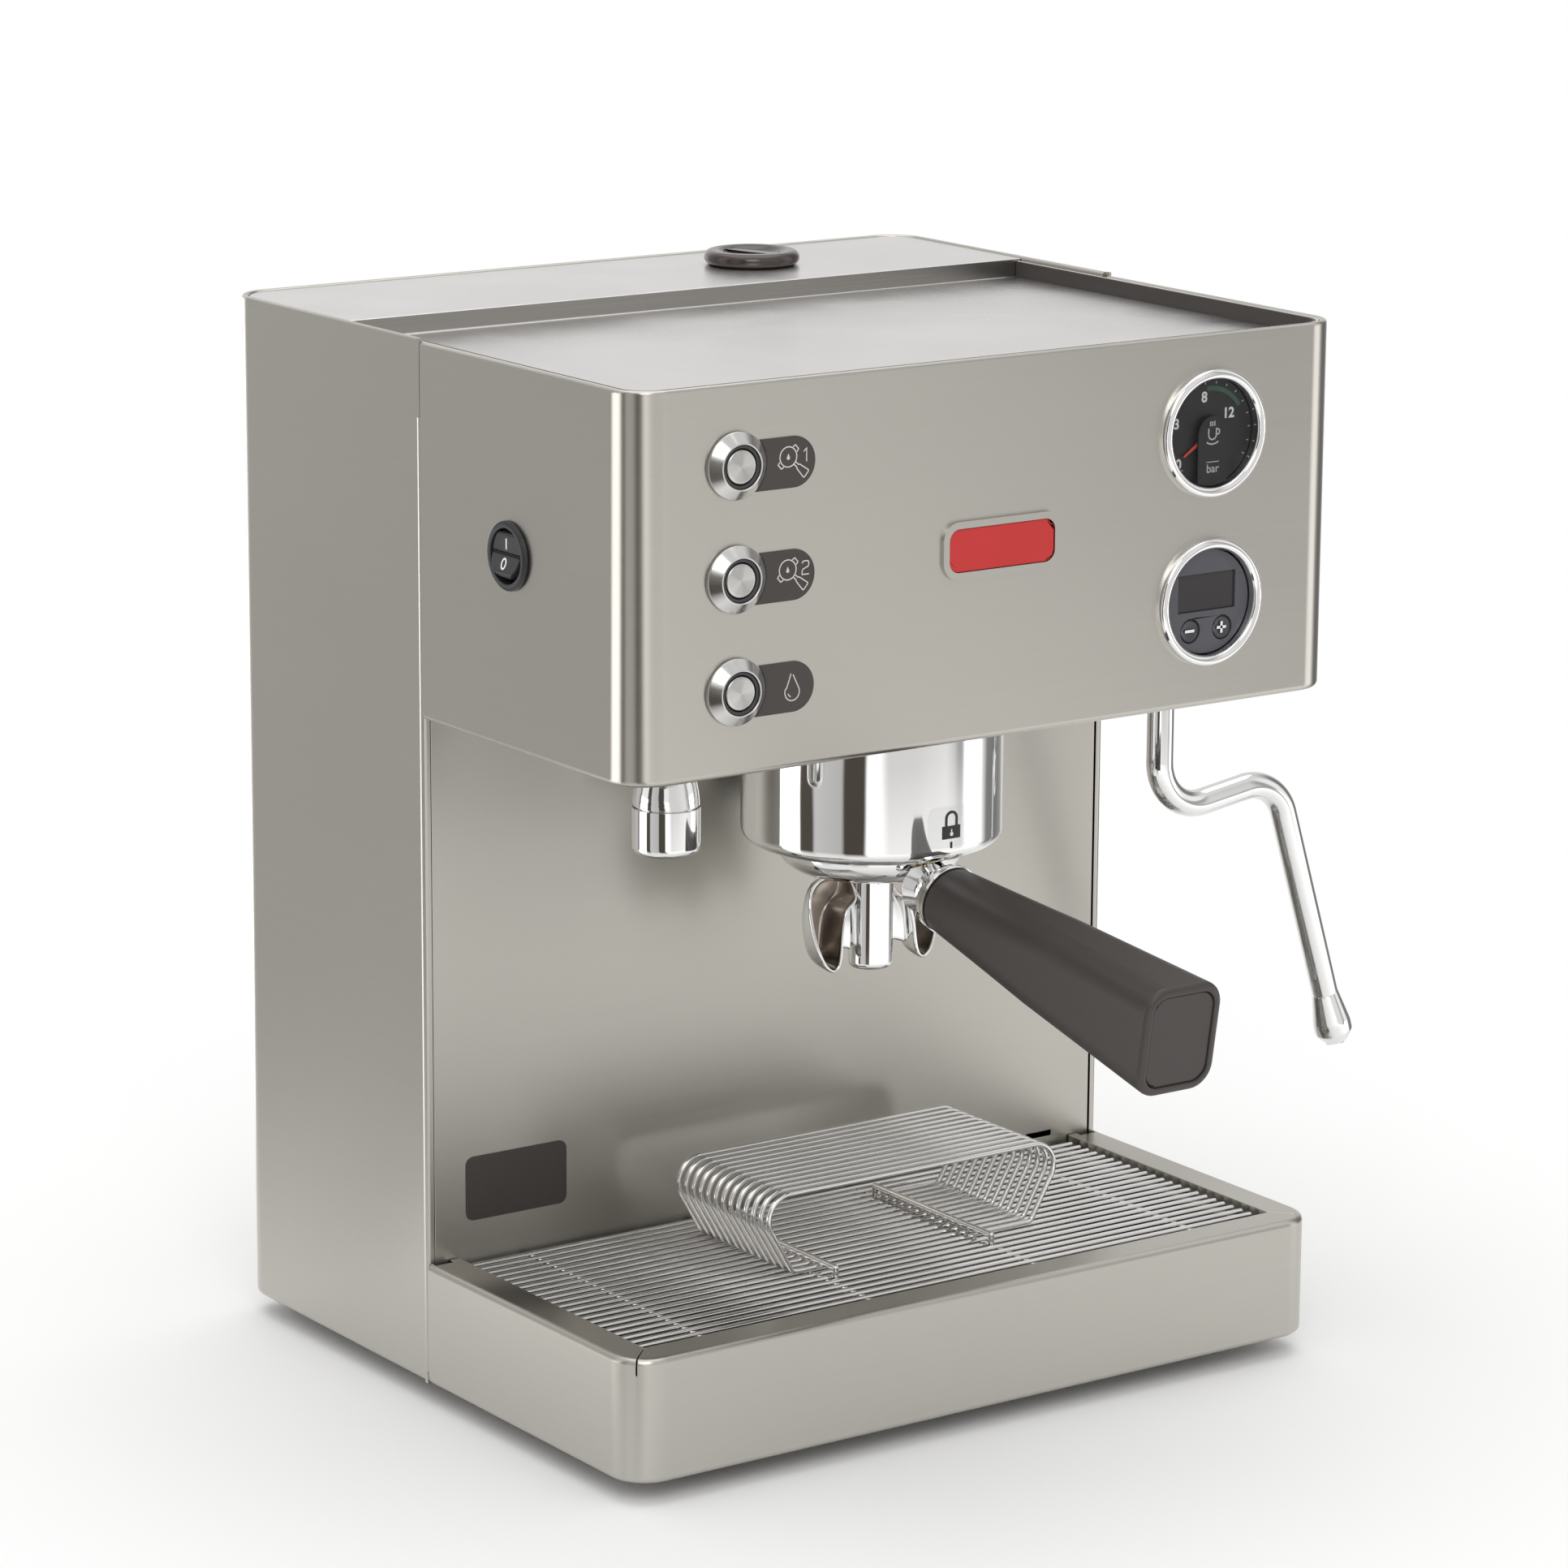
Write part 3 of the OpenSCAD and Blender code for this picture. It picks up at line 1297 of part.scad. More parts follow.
translate(shift) {
    rear_housing();
    head_shell();
    back_panel();
    base_shell();
    head_floor();
    bottom_plate();
    rubber_feet();
    case_screws();
    top_lid();
    tray_trim();
    filler_cap();
    chassis();
    water_tank();
    button_bezels();
    coffee_button_1();
    coffee_button_2();
    water_button();
    button_switches();
    label_plates();
    badge_plate();
    name_plate();
    gauge_bezel();
    gauge_case();
    gauge_dial();
    gauge_needle();
    gauge_glass();
    display_bezel();
    display_module();
    display_screen();
    minus_button();
    plus_button();
    switch_housing();
    rocker();
    group_collar();
    group_body();
    group_gasket();
    shower_screen();
    portafilter_bowl();
    filter_basket();
    twin_spout();
    handle_ferrule();
    handle_grip();
    handle_end_cap();
    hot_water_spout();
    wand_joint_nut();
    wand_seat();
    steam_wand();
    wand_tip();
    steam_valve();
    steam_knob();
    coffee_boiler();
    steam_boiler();
    pump();
    solenoid_valves();
    control_box();
    power_inlet();
    pipes();
    drip_tray();
    grill();
    cup_rack();
}
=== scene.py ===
"""Espresso machine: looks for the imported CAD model. Blender, metres, the row's own frame."""
import json
import math

import bmesh
import bpy
from mathutils import Matrix, Vector


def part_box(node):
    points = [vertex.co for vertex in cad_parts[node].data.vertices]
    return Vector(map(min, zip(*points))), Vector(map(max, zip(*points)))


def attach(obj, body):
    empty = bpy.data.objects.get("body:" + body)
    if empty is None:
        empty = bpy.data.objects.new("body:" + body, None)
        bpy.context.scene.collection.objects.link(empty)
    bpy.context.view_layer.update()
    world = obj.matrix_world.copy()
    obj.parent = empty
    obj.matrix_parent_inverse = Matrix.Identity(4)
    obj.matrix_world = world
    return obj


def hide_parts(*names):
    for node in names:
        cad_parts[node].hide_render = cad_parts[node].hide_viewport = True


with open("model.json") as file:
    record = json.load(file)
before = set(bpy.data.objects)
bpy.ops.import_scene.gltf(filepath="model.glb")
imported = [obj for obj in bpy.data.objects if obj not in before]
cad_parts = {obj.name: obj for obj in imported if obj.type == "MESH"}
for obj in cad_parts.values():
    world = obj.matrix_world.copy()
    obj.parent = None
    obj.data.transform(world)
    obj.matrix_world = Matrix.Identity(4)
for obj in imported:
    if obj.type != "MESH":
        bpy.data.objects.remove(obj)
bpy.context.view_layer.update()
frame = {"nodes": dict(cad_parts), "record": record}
nodes = frame["nodes"]
MM = 0.001
BODY = {n: b for b, names in frame["record"]["behaviour"]["bodies"].items() for n in names}
SLOT = {p["node"]: p["material_slot"] for p in frame["record"]["subparts"]}

# The machine's own axes: x = 0 in its middle, y = 0 at the seam, z = 0 at the case's lower edge
lo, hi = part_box("rear_housing")
ORIGIN = Vector(((lo.x + hi.x) / 2, lo.y, lo.z))

# Places on those axes, in millimetres
FRONT_Y, GROUP_Y = -135, -60
COLLAR_R, PADLOCK_Z = 47.53, 209.4
BUTTON_X, BUTTONS_Z = -111.7, (354.1, 315.4, 276.7)
DIAL_X, GAUGE_Z, KEYS_Z, KEY_SPACING = 93.5, 346.3, 274.9, 7.3
ROCKER = (-153.0, -58.7, 315.5)


def at(x, y, z):
    """A point given in the machine's millimetres."""
    return ORIGIN + Vector((x, y, z)) * MM


# ---------------------------------------------------------------- camera
AZIMUTH, ELEVATION, ROLL = -34.977, 13.160, 0.326
DISTANCE, TARGET = 2105.17, (3.28, 0.0, 203.6)
LENS, SENSOR = 130.4, 36.0

a, e, r = (math.radians(v) for v in (AZIMUTH, ELEVATION, ROLL))
away = Vector((math.sin(a) * math.cos(e), -math.cos(a) * math.cos(e), math.sin(e)))
right = Vector((math.cos(a), math.sin(a), 0.0))
up = away.cross(right)
right, up = right * math.cos(r) + up * math.sin(r), up * math.cos(r) - right * math.sin(r)
cam = bpy.data.objects.new("camera", bpy.data.cameras.new("camera"))
cam.matrix_world = Matrix((
    (right.x, up.x, away.x, 0), (right.y, up.y, away.y, 0), (right.z, up.z, away.z, 0), (0, 0, 0, 1)))
cam.location = at(*TARGET) + away * DISTANCE * MM
cam.data.lens, cam.data.sensor_width = LENS, SENSOR
cam.data.clip_end = 50
bpy.context.scene.collection.objects.link(cam)
bpy.context.scene.camera = cam
bpy.context.scene.view_settings.view_transform = "Standard"


# ---------------------------------------------------------------- materials
class Net:
    """The nodes of a material, or of the world, with short calls to add and join them."""

    def __init__(self, name, owner=None):
        self.mat = owner or bpy.data.materials.new(name)
        self.mat.use_nodes = True
        self.tree = self.mat.node_tree
        self.shader = self.tree.nodes.get("Principled BSDF")
        self.coords = self.add("ShaderNodeTexCoord")

    def add(self, kind, **values):
        """A new node, with values for its settings."""
        node = self.tree.nodes.new(kind)
        for k, v in values.items():
            setattr(node, k, v)
        return node

    def link(self, a, b):
        self.tree.links.new(a, b)

    def set(self, **values):
        """Even values of the shader."""
        names = {"color": "Base Color", "metal": "Metallic", "rough": "Roughness", "ior": "IOR", "alpha": "Alpha",
                 "coat": "Coat Weight", "coat_rough": "Coat Roughness", "aniso": "Anisotropic",
                 "aniso_turn": "Anisotropic Rotation", "spec": "Specular IOR Level"}
        for k, v in values.items():
            self.shader.inputs[names[k]].default_value = (*v, 1.0) if k == "color" else v
        return self

    def math(self, op, a, b=0.0, c=0.0):
        """An operation on numbers or sockets."""
        m = self.add("ShaderNodeMath", operation=op)
        for k, v in enumerate((a, b, c)):
            if isinstance(v, (int, float)):
                m.inputs[k].default_value = v
            else:
                self.link(v, m.inputs[k])
        return m.outputs[0]

    def noise(self, scale=(1, 1, 1), size=1.0, detail=3.0, rough=0.5, vector=None):
        """Noise in the object's own metres, finer along an axis with a larger scale."""
        m = self.add("ShaderNodeMapping")
        m.inputs["Scale"].default_value = scale
        self.link(vector or self.coords.outputs["Object"], m.inputs["Vector"])
        n = self.add("ShaderNodeTexNoise")
        n.inputs["Scale"].default_value = size
        n.inputs["Detail"].default_value = detail
        n.inputs["Roughness"].default_value = rough
        self.link(m.outputs["Vector"], n.inputs["Vector"])
        return n.outputs["Fac"]

    def spread(self, fac, low, high, start=0.3, end=0.7):
        """A number from low to high, as fac goes from start to end."""
        m = self.add("ShaderNodeMapRange")
        for k, v in zip(("From Min", "From Max", "To Min", "To Max"), (start, end, low, high)):
            m.inputs[k].default_value = v
        self.link(fac, m.inputs["Value"])
        return m.outputs["Result"]

    def tint(self, fac, dark, light, start=0.3, end=0.7):
        """A colour from dark to light, as fac goes from start to end."""
        ramp = self.add("ShaderNodeValToRGB")
        ramp.color_ramp.elements[0].position, ramp.color_ramp.elements[1].position = start, end
        ramp.color_ramp.elements[0].color, ramp.color_ramp.elements[1].color = (*dark, 1), (*light, 1)
        self.link(fac, ramp.inputs["Fac"])
        return ramp.outputs["Color"]

    def mix(self, fac, a, b):
        """Colour a where fac is 0, b where it is 1."""
        m = self.add("ShaderNodeMix", data_type="RGBA")
        for socket, v in ((m.inputs["Factor"], fac), (m.inputs["A"], a), (m.inputs["B"], b)):
            if isinstance(v, tuple):
                socket.default_value = (*v, 1)
            else:
                self.link(v, socket)
        return m.outputs["Result"]

    def bump(self, height, strength, distance):
        b = self.add("ShaderNodeBump")
        b.inputs["Strength"].default_value, b.inputs["Distance"].default_value = strength, distance
        self.link(height, b.inputs["Height"])
        self.link(b.outputs["Normal"], self.shader.inputs["Normal"])

    def color(self, out):
        self.link(out, self.shader.inputs["Base Color"])

    def rough(self, out):
        self.link(out, self.shader.inputs["Roughness"])


def shade(c, k):
    """A colour made brighter or darker."""
    return tuple(min(1.0, v * k) for v in c)


def brushed(name, color, rough=0.3, aniso=0.75, vary=0.016, grain=3600.0):
    """Sheet steel with a fine grain along its walls, and along x where it lies flat."""
    n = Net(name).set(metal=1.0, aniso=aniso, aniso_turn=0.25)
    sep = n.add("ShaderNodeSeparateXYZ")
    n.link(n.coords.outputs["Normal"], sep.inputs[0])
    flat = n.math("GREATER_THAN", n.math("ABSOLUTE", sep.outputs["Z"]), 0.7)
    mix = n.add("ShaderNodeMix")
    n.link(flat, mix.inputs["Factor"])
    n.link(n.noise((9, 9, grain), 1.0, 3.0, 0.62), mix.inputs["A"])
    n.link(n.noise((9, grain, 9), 1.0, 3.0, 0.62), mix.inputs["B"])
    streaks = mix.outputs["Result"]
    cloud = n.noise((1, 1, 2.5), 7.0, 3.0)
    both = n.math("MULTIPLY_ADD", cloud, 0.5, streaks)
    n.color(n.tint(both, shade(color, 1 - vary), shade(color, 1 + vary), 0.55, 0.95))
    n.rough(n.spread(both, rough * 0.93, rough * 1.08, 0.5, 1.0))
    n.bump(streaks, 0.012, 0.0001)
    return n.mat


def polished(name, color, rough=0.06, vary=0.4, wave=0.02, walls=None):
    """Bright metal; walls, where given, is a darker grained colour for its vertical faces: the grain is the finish,
    the darkness is painted shade.
    """
    n = Net(name).set(metal=1.0)
    smear = n.noise((1, 1, 1), 22.0, 3.0)
    tone = n.tint(smear, shade(color, 0.97), shade(color, 1.02))
    # Vertical faces are painted darker than flat ones: painted shade that follows the way a face points, over a fine
    # grain
    if walls:
        sep = n.add("ShaderNodeSeparateXYZ")
        n.link(n.coords.outputs["Normal"], sep.inputs[0])
        upright_shade = n.math("LESS_THAN", n.math("ABSOLUTE", sep.outputs["Z"]), 0.3)
        tone = n.mix(upright_shade, tone, n.tint(n.noise((9, 9, 2400), 1.0), shade(walls, 0.92), shade(walls, 1.06)))
    n.color(tone)
    n.rough(n.spread(smear, rough * (1 - vary), rough * (1 + vary)))
    n.bump(n.noise((1, 1, 1), 45.0, 2.0), wave, 0.0004)
    return n.mat


def turned(name, color, rough=0.3):
    """End face turned on a lathe: fine rings, and a painted highlight that fans out from the middle."""
    n = Net(name).set(metal=1.0)
    g = n.add("ShaderNodeSeparateXYZ")
    n.link(n.coords.outputs["Generated"], g.inputs[0])
    dx, dz = n.math("SUBTRACT", g.outputs["X"], 0.5), n.math("SUBTRACT", g.outputs["Z"], 0.5)
    radius = n.math("SQRT", n.math("ADD", n.math("MULTIPLY", dx, dx), n.math("MULTIPLY", dz, dz)))
    # Bright and dark sectors by angle, broad and fine, are a painted highlight; the rings by radius are the turned
    # grain
    painted_fan = n.math("SINE", n.math("MULTIPLY_ADD", n.math("ARCTAN2", dz, dx), 2.0, 0.6))
    fine = n.math("SINE", n.math("MULTIPLY_ADD", n.math("ARCTAN2", dz, dx), 7.0, 0.0))
    line = n.add("ShaderNodeCombineXYZ")
    n.link(radius, line.inputs["X"])
    rings = n.noise((1, 1, 1), 80.0, 2.0, 0.5, line.outputs[0])
    rings_and_highlight = n.math("MULTIPLY_ADD", painted_fan, 0.22, n.math("MULTIPLY_ADD", fine, 0.05, rings))
    n.color(n.tint(rings_and_highlight, shade(color, 0.78), shade(color, 1.14), 0.25, 0.75))
    n.rough(n.spread(rings, rough * 0.85, rough * 1.2))
    n.bump(rings, 0.05, 0.0001)
    return n.mat


def moulded(name, color, rough=0.45, grain=1800.0, bump=0.1, vary=0.1, coat=0.0):
    """Plastic, rubber or enamel with a fine grain."""
    n = Net(name).set(coat=coat, coat_rough=0.15)
    cloud = n.noise((1, 1, 1), 26.0, 3.0)
    n.color(n.tint(cloud, shade(color, 1 - vary), shade(color, 1 + vary)))
    n.rough(n.spread(cloud, rough * 0.9, rough * 1.12))
    n.bump(n.noise((1, 1, 1), grain, 2.0), bump, 0.0001)
    return n.mat


def printed(name, color, rough=0.5, vary=0.04):
    """Ink, a little patchy."""
    n = Net(name)
    patchy = n.noise((1, 1, 1), 900.0, 2.0)
    n.color(n.tint(patchy, shade(color, 1 - vary), shade(color, 1 + vary)))
    n.rough(n.spread(patchy, rough * 0.9, rough * 1.1))
    return n.mat


def clear(name, color, rough=0.03, alpha=0.25, spec=0.5):
    """Glass or clear plastic, as a thin see-through surface."""
    n = Net(name).set(color=color, alpha=alpha, ior=1.49, spec=spec)
    n.rough(n.spread(n.noise((1, 1, 1), 30.0), rough * 0.7, rough * 1.4))
    return n.mat


STEEL = (0.525, 0.508, 0.466)
# Finishes of the record's slots
M = {
    "housing_steel": brushed("housing_steel", STEEL, 0.30),
    # The tray's vertical faces are painted darker than its top: painted shade
    "tray_steel": polished("tray_steel", (0.78, 0.775, 0.77), 0.27, 0.15, 0.01, (0.36, 0.345, 0.325)),
    "chassis_steel": brushed("chassis_steel", (0.40, 0.39, 0.37), 0.4),
    "boiler_steel": brushed("boiler_steel", (0.52, 0.51, 0.49), 0.35),
    "chrome": polished("chrome", (0.83, 0.83, 0.825), 0.045),
    "wire_steel": polished("wire_steel", (0.80, 0.79, 0.775), 0.14),
    "brass": polished("brass", (0.66, 0.47, 0.20), 0.25),
    "copper": polished("copper", (0.70, 0.36, 0.22), 0.28),
    "dark_plastic": moulded("dark_plastic", (0.043, 0.036, 0.033)),
    "black_plastic": moulded("black_plastic", (0.030, 0.029, 0.033), 0.40),
    "dial_face": moulded("dial_face", (0.012, 0.012, 0.013), 0.5, 900),
    "needle_red": moulded("needle_red", (0.62, 0.06, 0.03), 0.35),
    "badge_red": moulded("badge_red", (0.52, 0.016, 0.015), 0.35, 1200, 0.03, 0.05, 0.08),
    "glass": clear("glass", (0.02, 0.02, 0.022), 0.02, 0.12, 0.5),
    "tank_plastic": clear("tank_plastic", (0.70, 0.78, 0.80), 0.2, 0.45),
    "rubber": moulded("rubber", (0.018, 0.017, 0.016), 0.7, 900, 0.25),
    "seat_plastic": moulded("seat_plastic", (0.70, 0.68, 0.62), 0.4),
}
# Finishes of single nodes and pieces
SATIN = polished("satin_bezel", (0.66, 0.655, 0.64), 0.17, 0.2, 0.004)
TURNED = turned("turned_face", (0.60, 0.59, 0.57))
DISPLAY = moulded("display_face", (0.074, 0.074, 0.087), 0.40, 2200, 0.06)
SCREEN = moulded("screen_window", (0.042, 0.037, 0.038), 0.12, 600, 0.01)
KEYS = moulded("display_keys", (0.045, 0.045, 0.050), 0.38)
CAP = moulded("cap_brown", (0.040, 0.027, 0.024), 0.20, 1800, 0.03, 0.1, 0.3)
SEAL = moulded("black_seal", (0.040, 0.040, 0.042), 0.5)
WHITE_INK = printed("white_ink", (0.80, 0.80, 0.80))
PALE_INK = printed("pale_ink", (0.58, 0.56, 0.54))
GREEN_INK = printed("green_ink", (0.035, 0.105, 0.055))
BLACK_INK = printed("black_ink", (0.012, 0.012, 0.012), 0.35)
FILM = clear("clear_film", (0.80, 0.82, 0.84), 0.10, 0.07)
OWN = {"button_bezels": SATIN, "coffee_button_1": TURNED, "coffee_button_2": TURNED, "water_button": TURNED,
       "display_module": DISPLAY, "display_screen": SCREEN, "minus_button": KEYS, "plus_button": KEYS,
       "filler_cap": CAP}


def finish_of(node):
    """The material of a CAD node."""
    return OWN.get(node, M[SLOT[node]])


for node in SLOT:
    for s in nodes[node].material_slots:
        s.material = finish_of(node)


# ---------------------------------------------------------------- pieces
def piece(name, mesh, body, mat, stands_for=(), slot=None):
    """An object that rides a body, and that may stand in for CAD nodes."""
    obj = bpy.data.objects.new(name, mesh)
    bpy.context.scene.collection.objects.link(obj)
    if not mesh.materials:
        mesh.materials.append(mat)
    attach(obj, body)
    if stands_for:
        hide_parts(*stands_for)
    return obj


def smooth(mesh):
    for f in mesh.polygons:
        f.use_smooth = True


def smooth_mesh(bm, name):
    """The finished mesh of a bmesh, shaded smooth."""
    mesh = bpy.data.meshes.new(name)
    bm.to_mesh(mesh)
    bm.free()
    smooth(mesh)
    return mesh


def skin(bm, rows, around=True, flip=1):
    """Faces from each row of points to the next; around closes each row to a ring."""
    for p, q in zip(rows, rows[1:]):
        for j in range(len(p) if around else len(p) - 1):
            k = (j + 1) % len(p)
            bm.faces.new((p[j], p[k], q[k], q[j])[::flip])


def thicken(obj, thickness, **settings):
    """Give a sheet its thickness in millimetres, to the inside, and round it off."""
    wall = obj.modifiers.new("wall", "SOLIDIFY")
    wall.thickness, wall.offset = thickness * MM, -1
    for k, v in settings.items():
        setattr(wall, k, v)
    finer = obj.modifiers.new("round", "SUBSURF")
    finer.levels = finer.render_levels = 2


def soften(node, width, angle=32, segments=3, clamp=False):
    """A copy of a CAD node with small radii on its edges, as pressed, cast and moulded parts have."""
    bm = bmesh.new()
    bm.from_mesh(nodes[node].data)
    bmesh.ops.remove_doubles(bm, verts=bm.verts, dist=2e-6)
    bmesh.ops.join_triangles(bm, faces=bm.faces, angle_face_threshold=0.01, angle_shape_threshold=3.15)
    mesh = bpy.data.meshes.new(node + "_soft")
    bm.to_mesh(mesh)
    bm.free()
    if "custom_normal" in mesh.attributes:
        mesh.attributes.remove(mesh.attributes["custom_normal"])
    smooth(mesh)
    obj = piece(node + "_soft", mesh, BODY[node], finish_of(node), [node], SLOT[node])
    b = obj.modifiers.new("edges", "BEVEL")
    b.width, b.segments, b.limit_method, b.angle_limit = width * MM, segments, "ANGLE", math.radians(angle)
    b.harden_normals, b.use_clamp_overlap, b.miter_outer = True, clamp, "MITER_SHARP" if clamp else "MITER_ARC"
    obj.modifiers.new("normals", "WEIGHTED_NORMAL").keep_sharp = True
    return obj


class Ink:
    """Flat print in millimetres: strokes, filled shapes and words, as one thin closed mesh."""

    def __init__(self, put, thick=0.06):
        self.put, self.thick, self.bm = put, thick, bmesh.new()

    def fill(self, pts):
        """A filled outline."""
        low = [self.bm.verts.new(self.put(x, y, 0.0)) for x, y in pts]
        high = [self.bm.verts.new(self.put(x, y, self.thick)) for x, y in pts]
        self.bm.faces.new(high)
        self.bm.faces.new(low[::-1])
        for k in range(len(pts)):
            j = (k + 1) % len(pts)
            self.bm.faces.new((low[k], low[j], high[j], high[k]))

    def stroke(self, pts, width, closed=False):
        """A line of one width, joined at its corners."""
        pts = [Vector(p) for p in pts]
        n = len(pts)
        rows = []
        for k, p in enumerate(pts):
            before = pts[k - 1] if k or closed else p
            after = pts[(k + 1) % n] if k < n - 1 or closed else p
            d0, d1 = (p - before), (after - p)
            d0 = (d0 if d0.length else d1).normalized()
            d1 = (d1 if d1.length else d0).normalized()
            t = (d0 + d1).normalized()
            side = Vector((-t.y, t.x)) * (width / 2 / max(0.5, t.dot(d0)))
            rows.append((p + side, p - side))
        v = [[self.bm.verts.new(self.put(q.x, q.y, h)) for h in (0.0, self.thick) for q in row] for row in rows]
        for k in range(n if closed else n - 1):
            a, b = v[k], v[(k + 1) % n]
            self.bm.faces.new((a[2], a[3], b[3], b[2]))
            self.bm.faces.new((a[0], b[0], b[1], a[1]))
            self.bm.faces.new((a[0], a[2], b[2], b[0]))
            self.bm.faces.new((a[1], b[1], b[3], a[3]))
        if not closed:
            for a, flip in ((v[0], 1), (v[-1], -1)):
                self.bm.faces.new((a[0], a[1], a[3], a[2])[::flip])

    def word(self, text, x, y, size, weight=0.0):
        """Plain figures or letters, centred on a point."""
        curve = bpy.data.curves.new("word", "FONT")
        curve.body, curve.size, curve.offset = text, size, weight
        curve.align_x, curve.align_y = "CENTER", "CENTER"
        curve.extrude = self.thick / 2
        o = bpy.data.objects.new("word", curve)
        mesh = bpy.data.meshes.new_from_object(o)
        v = [self.bm.verts.new(self.put(x + c.co.x, y + c.co.y, c.co.z + self.thick / 2))
             for c in mesh.vertices]
        for f in mesh.polygons:
            if len(set(f.vertices)) > 2:
                self.bm.faces.new([v[i] for i in f.vertices])
        bpy.data.objects.remove(o)
        bpy.data.meshes.remove(mesh)
        bpy.data.curves.remove(curve)

    def done(self, name, body, mat):
        """Make the print a piece."""
        bmesh.ops.recalc_face_normals(self.bm, faces=self.bm.faces)
        mesh = bpy.data.meshes.new(name)
        self.bm.to_mesh(mesh)
        self.bm.free()
        return piece(name, mesh, body, mat)


def arc(x, y, rad, a0, a1, n=24):
    """Points of an arc, its angles in degrees counted anticlockwise from the right."""
    return [(x + rad * math.cos(math.radians(a0 + (a1 - a0) * k / n)),
             y + rad * math.sin(math.radians(a0 + (a1 - a0) * k / n))) for k in range(n + 1)]


def ring(x, y, rad, n=40):
    """Points of a full circle."""
    return arc(x, y, rad, 0, 360, n)[:-1]


def turn(pts, angle, x=0.0, y=0.0):
    """Points turned by an angle in degrees, then moved."""
    c, s = math.cos(math.radians(angle)), math.sin(math.radians(angle))
    return [(x + px * c - py * s, y + px * s + py * c) for px, py in pts]


def drop(x, y, w, h, n=28):
    """Outline of a drop, w wide and h high, its point upwards."""
    rad = w / 2
    low = y - h / 2 + rad
    tip = y + h / 2
    lean = math.degrees(math.acos(rad / (tip - low)))
    return [(x, tip)] + arc(x, low, rad, 90 + lean, 450 - lean, n)


def on_front(x, z, depth):
    """A plane on the front of the case, depth millimetres proud of it."""
    return lambda u, v, h: at(x + u, FRONT_Y - depth - h, z + v)


def lathe(name, profile, place, body, mat, steps=72, **more):
    """A ring turned from a closed profile of (radius, height) points; place maps (x, y, h) to the frame."""
    bm = bmesh.new()
    rows = []
    for k in range(steps):
        a = 2 * math.pi * k / steps
        rows.append([bm.verts.new(place(rad * math.cos(a), rad * math.sin(a), h)) for rad, h in profile])
    skin(bm, rows + rows[:1])
    bmesh.ops.recalc_face_normals(bm, faces=bm.faces)
    obj = piece(name, smooth_mesh(bm, name), body, mat, **more)
    obj.modifiers.new("normals", "WEIGHTED_NORMAL").keep_sharp = True
    return obj


# Small radii on the edges that show, in millimetres
for node, width in {
    "base_shell": 0.25, "top_lid": 0.3,
    "portafilter_bowl": 0.6, "hot_water_spout": 0.3, "wand_tip": 0.5,
    "label_plates": 0.12, "name_plate": 0.15, "badge_plate": 0.45, "switch_housing": 0.5, "rocker": 0.45,
    "display_module": 0.3, "minus_button": 0.2, "plus_button": 0.2,
    "steam_knob": 0.8, "filler_cap": 0.6, "handle_end_cap": 0.4, "power_inlet": 0.4, "rubber_feet": 0.8,
}.items():
    soften(node, width)
for node, width in {"head_shell": 0.45, "rear_housing": 0.3, "back_panel": 0.25}.items():
    soften(node, width, clamp=True)

# Bezels of the push buttons, and the dark seals between them and the buttons, as (radius, height) profiles
BEZEL = [(8.0, -9.0), (6.35, -9.0), (6.35, 2.8), (7.6, 2.8), (7.6, 4.1), (7.65, 4.28), (7.8, 4.4), (8.0, 4.4),
         (8.2, 4.3), (11.5, 1.5), (11.65, 1.4), (11.7, 1.2), (11.7, 0.0), (8.0, 0.0)]
SEAL_RING = [(6.3, 2.4), (7.55, 2.4), (7.55, 3.5), (7.2, 3.75), (6.7, 3.75), (6.3, 3.5)]
for k, z in enumerate(BUTTONS_Z):
    lathe(f"button_bezel_{k + 1}", BEZEL, on_front(BUTTON_X, z, 0), "machine", SATIN,
          stands_for=["button_bezels"], slot="chrome", steps=96)
for k, z in enumerate(BUTTONS_Z):
    lathe(f"button_seal_{k + 1}", SEAL_RING, on_front(BUTTON_X, z, 0), "machine", SEAL)

# Icons on the label plates: a portafilter with the number of its cups, and a drop of water
LINE = 0.4
GRIP_OUTLINE = [(3.6, 0.55), (5.0, 0.55), (5.6, 0.95), (9.6, 1.55), (9.9, 1.2), (9.9, -1.2), (9.6, -1.55),
                (5.6, -0.95), (5.0, -0.55), (3.6, -0.55)]
ONE = [(6.3, 1.3), (7.5, 2.35), (7.5, -2.2)]
TWO = [(5.9, 1.6), (6.2, 2.2), (6.8, 2.4), (8.0, 2.4), (8.6, 2.1), (8.7, 1.3), (8.5, 0.5), (6.3, -0.4),
       (5.9, -1.0), (5.9, -2.2), (8.8, -2.2)]
icons = Ink(on_front(BUTTON_X, 0, 0.5), 0.05)
for z, digit in zip(BUTTONS_Z, (ONE, TWO)):
    cx, cy = 21.2, z + 1.0
    icons.stroke(ring(cx, cy, 3.45), LINE, True)
    icons.fill(drop(cx, cy + 0.1, 1.25, 2.2, 16))
    for s in (42, 222):
        icons.stroke(turn([(3.6, -1.25), (4.75, -0.95), (4.75, 0.95), (3.6, 1.25)], s, cx, cy), LINE)
    icons.stroke(turn(GRIP_OUTLINE, -41, cx, cy), LINE)
    icons.stroke([(cx + u, cy + v) for u, v in digit], LINE)
cx, cy = 23.3, BUTTONS_Z[2] - 1.0
icons.stroke(drop(cx, cy, 6.0, 9.4)[1:-1] + [(cx + 0.35, cy + 4.3)], LINE)
icons.stroke([(cx - 0.5, cy + 4.7), (cx - 0.9, cy + 3.5), (cx - 2.45, cy - 0.6)], LINE)
icons.stroke(arc(cx, cy - 1.7, 1.7, 195, 250, 8), LINE)
icons.done("button_icons", "machine", PALE_INK)

